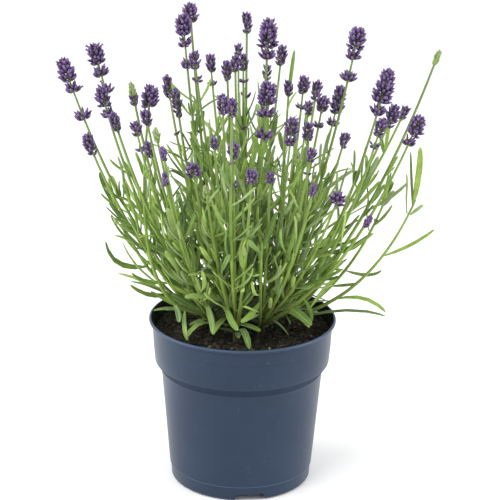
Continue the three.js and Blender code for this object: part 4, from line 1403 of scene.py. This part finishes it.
def pair_of_bracts(parts, stem, distance, turn, size, masters, draw):
    """Two bracts on opposite sides of a stem."""
    way = stem.path.tangent(distance)
    e1, e2 = across(way, stem.guide)
    place = stem.path.at(distance)
    wide = constant(size * BRACT_WIDTH_SHARE)
    for angle in (turn, turn + math.pi):
        out = turned_towards(e1, e2, angle)
        axis = turned_towards(way, out, BRACT_OPENING)
        line = straight_line(place + out * BRACT_FOOT, axis, np.cross(way, out), size, BRACT_BEND, way)
        parts.append(lay(masters.bract, line, wide, constant(BRACT_HALF_THICKNESS), draw(0, 1)))


def top_cup(parts, stem, drop, masters):
    """The cup that closes the tip of a spike."""
    line = stalk_line(stem, stem.path.length - drop, stem.path.length - 0.4)
    parts.append(lay_round(masters.cup, line, constant(TOP_CUP_HALF_WIDTH), TOP_CUP_SHADE))


def head_of_cups(parts, stem, foot, length, width, masters, draw, flowers):
    """A dense head of flower cups up to the tip of a stem."""
    rows = max(3, round((length - 3.0) / np.interp(width, SLIM_TO_FULL, ROW_SPACINGS)))
    widest = np.interp(width, SLIM_TO_FULL, HEAD_OPENINGS)
    fill = np.interp(width, SLIM_TO_FULL, HEAD_FILL)
    for k in range(rows):
        t = k / rows
        reach = width / 2 * fullness(t) * fill * draw(*HEAD_REACHES)
        cups = cups_round(*HEAD_CUPS, reach)
        open_angle = widest * (1 - HEAD_CLOSING * t)
        turn = k * HEAD_TURN + draw(-HEAD_TURN_SCATTER, HEAD_TURN_SCATTER)
        ring_of_cups(parts, stem, foot + 0.6 + (length - 4.2) * t, reach, cups, open_angle,
                     turn, masters, draw, flowers, LONGEST_CUP * (1 - HEAD_SHORTENING * t))
        if k % 2 == 0:
            pair_of_bracts(parts, stem, foot + (length - 3.5) * t, k * 0.9, 2.4 + width * 0.08, masters, draw)
    ring_of_cups(parts, stem, foot + length - 4.4, 0.9 + 0.1 * width, 4, 0.4, 0.3, masters, draw, 0,
                 TOP_RING_CUP)
    top_cup(parts, stem, 4.6, masters)


def closed_bud(parts, stem, foot, masters, draw):
    """A slim bud: a few rings of cups that still lie close to the stalk."""
    rings = 5
    for k in range(rings):
        distance = foot - 2.4 + (BUD_LENGTH - 2.6) * k / (rings - 1)
        reach = 2.7 - 0.3 * abs(k - 1)
        ring_of_cups(parts, stem, distance, reach, 5, 0.5 - 0.07 * k, k * 0.6, masters, draw, 0, 4.2)
    top_cup(parts, stem, 4.4, masters)


def first_violet_rings(parts, stem, foot, masters):
    """The rings under a bud that has begun to colour from its foot."""
    draw = draws_from(FINE_SEED + 4)
    for k in range(3):
        ring_of_cups(parts, stem, foot - 8.4 + 2.5 * k, 3.7, 5, 0.66, k * 0.7, masters, draw, 0, 4.4)


def loose_whorls(parts, stem, masters, draw):
    """The small whorls that stand alone on a stalk, each with its pair of bracts."""
    for number, height, reach, cups in LOOSE_WHORLS:
        if number != stem.index:
            continue
        distance = np.interp(height, stem.path.points[:, 2], stem.path.marks)
        turn = draw(0, math.pi)
        pair_of_bracts(parts, stem, distance - 0.4, turn, 2.6, masters, draw)
        ring_of_cups(parts, stem, distance, reach, cups, LOOSE_WHORL_OPENING, turn, masters, draw, 0, 4.6)


def below_head(whorls):
    """How far below its head the flowers of a spike begin."""
    return whorls[-1] + WHORL_LENGTH / 2 + 1 if whorls else 1


def whorl_of_cups(parts, stem, middle, width, drop, masters, draw, flowers):
    """A whorl that stands below its head: bracts, a ring of cups, and a second ring in the wide ones."""
    reach = max(WHORL_REACH, width * WHORL_WIDTH_SHARE) / 2
    cups = cups_round(*WHORL_CUPS, reach)
    pair_of_bracts(parts, stem, middle - 2.2, drop, 4.2, masters, draw)
    ring_of_cups(parts, stem, middle - 2.0, reach, cups, WHORL_OPENING, drop, masters, draw, flowers)
    if width > SECOND_RING_WIDTH:
        ring_of_cups(parts, stem, middle - 0.9, reach * SECOND_RING_REACH, cups - 2, SECOND_RING_OPENING,
                     drop + 0.5, masters, draw, flowers)


def flower_spike(stem, number, masters, draw):
    """One flower spike with the whorls that stand below it."""
    length, width, whorls = stem.spike
    foot = stem.path.length - length
    line = stalk_line(stem, foot - below_head(whorls), stem.path.length - 3)
    size = between(STALK_TOP_CORNER, STALK_TIP_CORNER)
    parts = [lay_round(masters.spike_stalk, line, size, draw(0, 1))]
    flowers = OPEN_FLOWER_CHANCE if width > OPEN_FLOWER_WIDTH else 0.0
    for drop in whorls:
        whorl_of_cups(parts, stem, foot - drop, width, drop, masters, draw, flowers)
    head_of_cups(parts, stem, foot, length, width, masters, draw, flowers)
    name = f"flower_spike_{number:02d}"
    return joined(f"{name}_florets", parts, name)


def stalk_end(stem):
    """How far up its path a green stalk goes before its flowers."""
    if stem.kind == "flower":
        length, _, whorls = stem.spike
        return stem.path.length - length - below_head(whorls) + 0.4
    return stem.path.length - (BUD_LENGTH if stem.kind == "bud" else 2)


def woody_foot(plant, masters):
    """The short woody foot that the stalks of a plant grow from."""
    start = plant.root * np.array((1, 1, 0)) + np.array((0, 0, SOIL_Z - TRUNK_DEPTH))
    path = Path(start, plant.root, plant.crown + np.array((0, 0, 3.0)))
    trunk = SimpleNamespace(path=path, guide=np.array((1.0, 0, 0)), turn=0.0)
    size = between(TRUNK_RADIUS * 1.1, TRUNK_RADIUS * 0.7)
    return lay_round(masters.trunk, stalk_line(trunk, 0, path.length), size, 0.5)


def leafy_stalk(parts, stem, masters, draw):
    """A green stalk with all its leaves, and the closed bud at its tip where it has one."""
    end = stalk_end(stem)
    size = between(STALK_CORNER, STALK_TOP_CORNER)
    parts.append(lay_round(masters.stalk, stalk_line(stem, 0, end), size, draw(0, 1)))
    slim = np.interp(abs(stem.tip[0]), MIDDLE_TO_FLANK, (BLADE_SHARE, FLANK_BLADE_SHARE))
    for leaf in [leaf for joint in stem.joints for leaf in joint.leaves] + stem.fine_leaves:
        line = blade_line(leaf, draw(-BLADE_TWIST, BLADE_TWIST))
        parts.append(lay_leaf(masters, line, leaf.width * slim, draw(0, 1)))
    if stem.kind != "bud":
        return
    size = between(STALK_TOP_CORNER, STALK_TIP_CORNER)
    parts.append(lay_round(masters.spike_stalk, stalk_line(stem, end - 0.5, stem.path.length - 3), size, 0.5))
    number = stem.index - len(SPIKES)
    closed_bud(parts, stem, end, masters if number in VIOLET_BUDS else masters.young, draw)
    if number == COLOURING_BUD:
        first_violet_rings(parts, stem, end, masters)


def leafy_stem(plant, masters, draw):
    """The woody foot of one plant with its stalks and leaves."""
    parts = [woody_foot(plant, masters)]
    for leaf in plant.single_leaves:
        shade = draw(0, 1) if leaf.path.points[-1, 2] > LOW_LEAF_Z else draw(0, LOW_LEAF_SHADE)
        parts.append(lay_leaf(masters, arched_line(leaf, leaf.roll), leaf.width, shade))
    for leaf in plant.basal_leaves:
        line = blade_line(leaf, draw(-BASAL_TWIST, BASAL_TWIST))
        parts.append(lay_leaf(masters, line, leaf.width, draw(0, BASAL_SHADE)))
    for stem in plant.stems:
        if stem.kind == "arched":
            parts.append(lay_leaf(masters, arched_line(stem), LEAF_WIDTH, draw(0, 1)))
        else:
            leafy_stalk(parts, stem, masters, draw)
    late_draw = draws_from(FINE_SEED + 5 + plant.index)
    for leaf in plant.top_leaves:
        parts.append(lay_leaf(masters, arched_line(leaf, leaf.roll), leaf.width, late_draw(0.3, 1)))
    for stem in plant.stems:
        loose_whorls(parts, stem, masters, late_draw)
    name = f"leafy_stem_{plant.index + 1:02d}"
    return joined(f"{name}_foliage", parts, name)


def arc(centre_r, centre_z, radius, first, last, steps):
    """Points on an arc of an outline, between two angles in degrees."""
    angles = np.radians(np.linspace(first, last, steps + 1))
    return [(centre_r + radius * math.cos(a), centre_z + radius * math.sin(a)) for a in angles]


def offset_from(radius, height, *offsets):
    """Points of an outline, each by how far out and how far up it is from one place."""
    return [(radius + out, height + up) for out, up in offsets]


def pot_outline():
    """The pot's outline, up the outside and down the inside."""
    lip_foot = POT_HEIGHT - LIP_HEIGHT
    lip = LIP_ROUNDING
    foot_inside = FOOT_RADIUS - FOOT_RING_WIDTH
    foot_outside = FOOT_RADIUS - 0.6
    return [
        (0, 0), (PAD_RADIUS, 0), (PAD_RADIUS + 1, 0.3), (PAD_RADIUS + 3, FLOOR_UNDERSIDE_Z),
        (foot_inside - 2, FLOOR_UNDERSIDE_Z), (foot_inside - 0.4, 0.4), (foot_inside, 0), (foot_outside, 0),
        *arc(foot_outside, FOOT_ROUNDING, FOOT_ROUNDING, -90, -20, 6),
        *offset_from(BODY_BOTTOM_RADIUS, FOOT_LINE_Z, (-0.25, -1.4), (-0.05, -0.5), (-0.1, -0.25),
                     (0.35, 0), (0.5, 0.3), (0.55, 0.9)),
        *[(BODY_BOTTOM_RADIUS + 0.55 + (BODY_TOP_RADIUS - BODY_BOTTOM_RADIUS - 0.7) * t,
           FOOT_LINE_Z + 0.9 + (BODY_TOP_Z - FOOT_LINE_Z - 2.2) * t) for t in (0.25, 0.5, 0.75, 1)],
        *offset_from(BODY_TOP_RADIUS, BODY_TOP_Z, (0.2, 0), (0.8, 0.9)),
        *offset_from(COLLAR_BOTTOM_RADIUS, COLLAR_BOTTOM_Z, (-0.9, -0.9), (-0.25, -0.1), (0, 0.9), (1, 12)),
        *offset_from(COLLAR_TOP_RADIUS, lip_foot, (-0.1, -0.9), (0, -0.2), (0.3, 0)),
        *arc(RIM_RADIUS - lip, lip_foot + lip, lip, -90, 0, 4),
        *arc(RIM_RADIUS - lip, POT_HEIGHT - lip, lip, 0, 90, 6),
        *[(RIM_RADIUS - lip * over, POT_HEIGHT - drop)
          for over, drop in ((1.5, 0.1), (1.9, 0.4), (2.3, 0.9))],
        (COLLAR_TOP_RADIUS - WALL, lip_foot), (COLLAR_BOTTOM_RADIUS - WALL, COLLAR_BOTTOM_Z + WALL / 2),
        (BODY_TOP_RADIUS - WALL, BODY_TOP_Z + WALL / 2),
        (BODY_BOTTOM_RADIUS - WALL - 0.6, FLOOR_UNDERSIDE_Z + WALL),
        (PAD_RADIUS + 2, FLOOR_UNDERSIDE_Z + WALL), (PAD_RADIUS, WALL), (0, WALL),
    ]


def in_metres(piece):
    select_only(piece)
    bpy.ops.object.mode_set(mode="EDIT")
    bpy.ops.mesh.select_all(action="SELECT")
    bpy.ops.transform.resize(value=(MM, MM, MM), center_override=(0, 0, 0))
    bpy.ops.object.mode_set(mode="OBJECT")


def angles_round(count):
    """Equal steps round the axis, from the notch at the front."""
    return [math.radians(NOTCH_FIRST_ANGLE + i * 360 / count) for i in range(count)]


def notch_cutter(angle):
    """A block with rounded edges, wider at the bottom, that stands across the foot ring."""
    select_none()
    bpy.ops.mesh.primitive_cube_add(size=1, location=(0, 0, 0))
    notch = bpy.context.object
    places = coordinates(notch)
    top = places[:, 2] > 0
    places[:, 1] *= np.where(top, NOTCH_WIDTH_TOP, NOTCH_WIDTH_BOTTOM)
    places[:, 0] = places[:, 0] * NOTCH_DEPTH + BODY_BOTTOM_RADIUS - NOTCH_DEPTH * 0.2
    places[:, 2] = np.where(top, FLOOR_UNDERSIDE_Z, -1)
    set_coordinates(notch, places)
    apply_modifier(notch, "BEVEL", width=0.9, segments=3, limit_method="ANGLE")
    notch.data.transform(Matrix.Rotation(angle, 4, "Z"))
    return notch


def hole_cutter(angle):
    """A cylinder through the floor."""
    place = (DRAIN_HOLE_RING * math.cos(angle), DRAIN_HOLE_RING * math.sin(angle), FLOOR_UNDERSIDE_Z)
    bpy.ops.mesh.primitive_cylinder_add(vertices=40, radius=DRAIN_HOLE_RADIUS, depth=8, location=place)
    bpy.ops.object.transform_apply(location=True)
    return bpy.context.object


def drain_cutter():
    """The notches through the foot ring and the round holes in the floor, as one cutter."""
    cutters = [notch_cutter(angle) for angle in angles_round(NOTCHES)]
    cutters += [hole_cutter(angle) for angle in angles_round(DRAIN_HOLES)]
    select_only(*cutters)
    bpy.ops.object.join()
    return bpy.context.object


def finish_pot(pot, outside, chamfer, inside):
    """Satin outside, duller under the collar, and dark with painted shade on the inner wall over the soil."""
    materials = (outside, chamfer, inside)
    pot.data.materials.clear()
    for material in materials:
        pot.data.materials.append(material)
    for face in pot.data.polygons:
        middle = face.center / MM
        out = max(math.hypot(middle.x, middle.y), 1)
        outward = (face.normal.x * middle.x + face.normal.y * middle.y) / out
        if outward > FACING_SHARE and BODY_TOP_Z < middle.z < COLLAR_BOTTOM_Z:
            face.material_index = materials.index(chamfer)
        # Faces of the inner wall over the soil take the dark material of painted shade.
        elif outward < -FACING_SHARE and middle.z > COLLAR_BOTTOM_Z:
            face.material_index = materials.index(inside)


def make_pot(outside, chamfer, inside):
    """The pot with its notches and drain holes cut through."""
    pot = turned("nursery_pot", pot_outline(), POT_STEPS)
    cutter = drain_cutter()
    apply_modifier(pot, "BOOLEAN", operation="DIFFERENCE", object=cutter, solver="EXACT")
    bpy.data.objects.remove(cutter)
    in_metres(pot)
    finish_pot(pot, outside, chamfer, inside)
    select_only(pot)
    bpy.ops.object.shade_smooth_by_angle(angle=math.radians(SMOOTH_BELOW))
    return joined("nursery_pot", [pot], "pot")


def soil_lump(x, y):
    """Height of the soil's lumps over its mean."""
    broad = np.sin(x * 0.13 + 1.1) * np.cos(y * 0.11 - 0.4)
    fine = np.sin(x * 0.41 + y * 0.23) * np.sin(y * 0.37 - x * 0.19 + 2)
    return SOIL_LUMP * (broad + 0.8 * fine)


def peat_bed(edge, material):
    """The body of the peat, with a lumpy top that is level at its edge."""
    inset = WALL + GAP
    outline = [
        (0, inset), (PAD_RADIUS - GAP, inset), (PAD_RADIUS + 1.5, FLOOR_UNDERSIDE_Z + WALL + GAP),
        (BODY_BOTTOM_RADIUS - WALL - 0.6 - GAP, FLOOR_UNDERSIDE_Z + WALL + GAP),
        (BODY_TOP_RADIUS - WALL - GAP, BODY_TOP_Z + WALL / 2),
        (COLLAR_BOTTOM_RADIUS - WALL - GAP, COLLAR_BOTTOM_Z + WALL / 2),
        *[(edge * (1 - i / SOIL_RINGS), SOIL_Z) for i in range(SOIL_RINGS)], (0, SOIL_Z),
    ]
    bed = turned("peat_bed", outline, SOIL_STEPS)
    places = coordinates(bed)
    top = places[:, 2] > SOIL_Z - 0.01
    rim = np.hypot(places[:, 0], places[:, 1]) / edge
    for index in np.nonzero(top)[0]:
        x, y, _ = places[index]
        clump = noise.fractal(Vector(places[index]) * 0.22, 0.9, 2.2, 5)
        inside = 1 - max(0.0, (rim[index] - LEVEL_EDGE) / (1 - LEVEL_EDGE)) ** 2
        places[index, 2] += (soil_lump(x, y) + CLUMP_HEIGHT * clump) * inside
    set_coordinates(bed, places)
    in_metres(bed)
    bed.data.materials.clear()
    bed.data.materials.append(material)
    select_only(bed)
    bpy.ops.object.shade_smooth()
    return bed


def crumb(masters, number, edge, draw):
    """A crumb of peat or a pale splinter, lying somewhere on the soil."""
    pale = number >= CLODS
    out = edge * math.sqrt(draw(0, CRUMB_SPREAD))
    angle = draw(0, 2 * math.pi)
    x, y = out * math.cos(angle), out * math.sin(angle)
    largest = LARGEST_BIT if pale else LARGEST_CLOD
    small = draw(0, 1) < SMALL_CRUMB_SHARE
    size = draw(*SMALL_CRUMBS) if small else draw(SMALL_CRUMBS[1], largest)
    length = size * draw(*CRUMB_LENGTHS)
    thin = size * (0.8 if pale else 0.9)
    way = unit(np.array((math.cos(angle * 7), math.sin(angle * 7), draw(-CRUMB_TILT, CRUMB_TILT))))
    root = np.array((x, y, SOIL_Z + soil_lump(x, y) + draw(*CRUMB_LIFT)))
    line = straight_line(root, way, unit(np.cross(way, UP)), length, 0, UP)
    master = masters.bit if pale else masters.clods[number % len(masters.clods)]
    return lay(master, line, constant(thin), constant(thin * 0.8), draw(0, 1))


def make_soil(masters, material):
    """The peat in the pot, with crumbs and pale splinters lying on it."""
    full = (SOIL_Z - COLLAR_BOTTOM_Z) / (POT_HEIGHT - LIP_HEIGHT - COLLAR_BOTTOM_Z)
    edge = COLLAR_BOTTOM_RADIUS + (COLLAR_TOP_RADIUS - COLLAR_BOTTOM_RADIUS) * full - WALL - GAP
    parts = [peat_bed(edge, material)]
    draw = draws_from(FINE_SEED + 2)
    parts += [crumb(masters, number, edge, draw) for number in range(CLODS + PALE_BITS)]
    return joined("peat_and_crumbs", parts, "soil")


# The photograph's camera, fitted to the pot: place in millimetres, view and focal length in pixels
CAMERA_PLACE = (4.49, -1500, 702.6)
CAMERA_RIGHT = (0.999884, 0.005107, 0.014316)
CAMERA_UP = (-0.0152, 0.335922, 0.941767)
CAMERA_FORWARD = (0, 0.941876, -0.335961)
FOCAL_PIXELS = 2314.7
PICTURE_PIXELS = 500
SENSOR_MM = 36


def make_camera():
    """The photograph's camera."""
    data = bpy.data.cameras.new("camera")
    data.sensor_fit = "HORIZONTAL"
    data.sensor_width = SENSOR_MM
    data.lens = SENSOR_MM * FOCAL_PIXELS / PICTURE_PIXELS
    data.clip_end = 50
    camera = bpy.data.objects.new("camera", data)
    columns = [Vector(CAMERA_RIGHT), Vector(CAMERA_UP), -Vector(CAMERA_FORWARD), Vector(CAMERA_PLACE) * MM]
    rows = [tuple(column[row] for column in columns) for row in range(3)]
    camera.matrix_world = Matrix([*rows, (0, 0, 0, 1)])
    bpy.context.collection.objects.link(camera)
    bpy.context.scene.camera = camera


# Soft lights, in metres and watts: name, place, width and height, power
LIGHTS = [
    ("key light", (-0.9, -1.3, 2.0), (1.0, 1.0), 19),
    ("left light", (-1.4, -0.1, 0.5), (1.2, 1.4), 22),
    ("right light", (1.4, -0.1, 0.5), (1.2, 1.4), 21),
]
LIGHT_AIM = (0, 0, 0.17)
SKY_STRENGTH = 0.9
FLOOR_SIZE = 12


def soft_light(name, place, size, power):
    """A soft light that faces the plant."""
    data = bpy.data.lights.new(name, "AREA")
    data.shape = "RECTANGLE"
    data.size, data.size_y = size
    data.energy = power
    light = bpy.data.objects.new(name, data)
    light.location = place
    aim = Vector(LIGHT_AIM) - Vector(place)
    light.rotation_euler = aim.to_track_quat("-Z", "Y").to_euler()
    bpy.context.collection.objects.link(light)


def make_studio():
    """A plain pale floor under soft light from above and both sides."""
    select_none()
    bpy.ops.mesh.primitive_plane_add(size=FLOOR_SIZE, location=(0, 0, 0))
    floor = bpy.context.object
    floor.name = "floor"
    paper = Finish("pale floor", 0.8, 0.2)
    paper.base(paper.ramp(paper.noise(3, 2), (0.3, colour(246, 246, 246)), (0.7, colour(249, 249, 249))))
    floor.data.materials.append(paper.material)
    for light in LIGHTS:
        soft_light(*light)
    world = bpy.data.worlds.new("studio")
    world.use_nodes = True
    sky = world.node_tree.nodes["Background"]
    sky.inputs["Color"].default_value = (1, 1, 1, 1)
    sky.inputs["Strength"].default_value = SKY_STRENGTH
    bpy.context.scene.world = world
    bpy.context.scene.view_settings.view_transform = "Standard"
    bpy.context.scene.view_settings.look = "None"


def make_masters(peat):
    """Each repeated shape, made once."""
    stalk = stalk_green()
    green = bud_green()
    flower = flower_master(petal_violet())
    return SimpleNamespace(
        leaf=leaf_master(leaf_green()),
        stalk=stalk_master("stalk", stalk, 26),
        spike_stalk=stalk_master("spike stalk", stalk, 6),
        trunk=trunk_master(bark_brown()),
        cup=cup_master(calyx_violet()),
        flower=flower,
        bract=bract_master(bract_green()),
        young=SimpleNamespace(cup=cup_master(green), flower=flower, bract=bract_master(green)),
        clods=[lump_master("clod", peat, seed) for seed in CLOD_SEEDS],
        bit=lump_master("bit", bit_tan(), BIT_SEED),
    )


def remove_masters():
    """The masters are in no collection, and only their copies stay."""
    for piece in [one for one in bpy.data.objects if one.type == "MESH" and not one.users_collection]:
        bpy.data.objects.remove(piece)


def main():
    plants, stems, taken = grow_plants()
    for leaf in grow_single_leaves(stems, taken, SINGLE_LEAVES):
        leaf.plant.single_leaves.append(leaf)
    grow_basal_leaves(plants, taken)
    grow_fine_leaves(stems, taken)
    for leaf in grow_single_leaves(stems, taken, TOP_LEAVES):
        leaf.plant.top_leaves.append(leaf)
    peat = peat_brown()
    masters = make_masters(peat)
    make_pot(pot_plastic("slate blue plastic", 0.35, 0.32), pot_plastic("dull slate plastic", 0.65, 0.14),
             inner_wall_shade_plastic())
    make_soil(masters, peat)
    draw = draws_from(FINE_SEED + 1)
    for plant in plants:
        leafy_stem(plant, masters, draw)
    flowering = [stem for stem in stems if stem.kind == "flower"]
    for number, stem in enumerate(flowering, start=1):
        flower_spike(stem, number, masters, draw)
    make_camera()
    make_studio()
    remove_masters()


main()
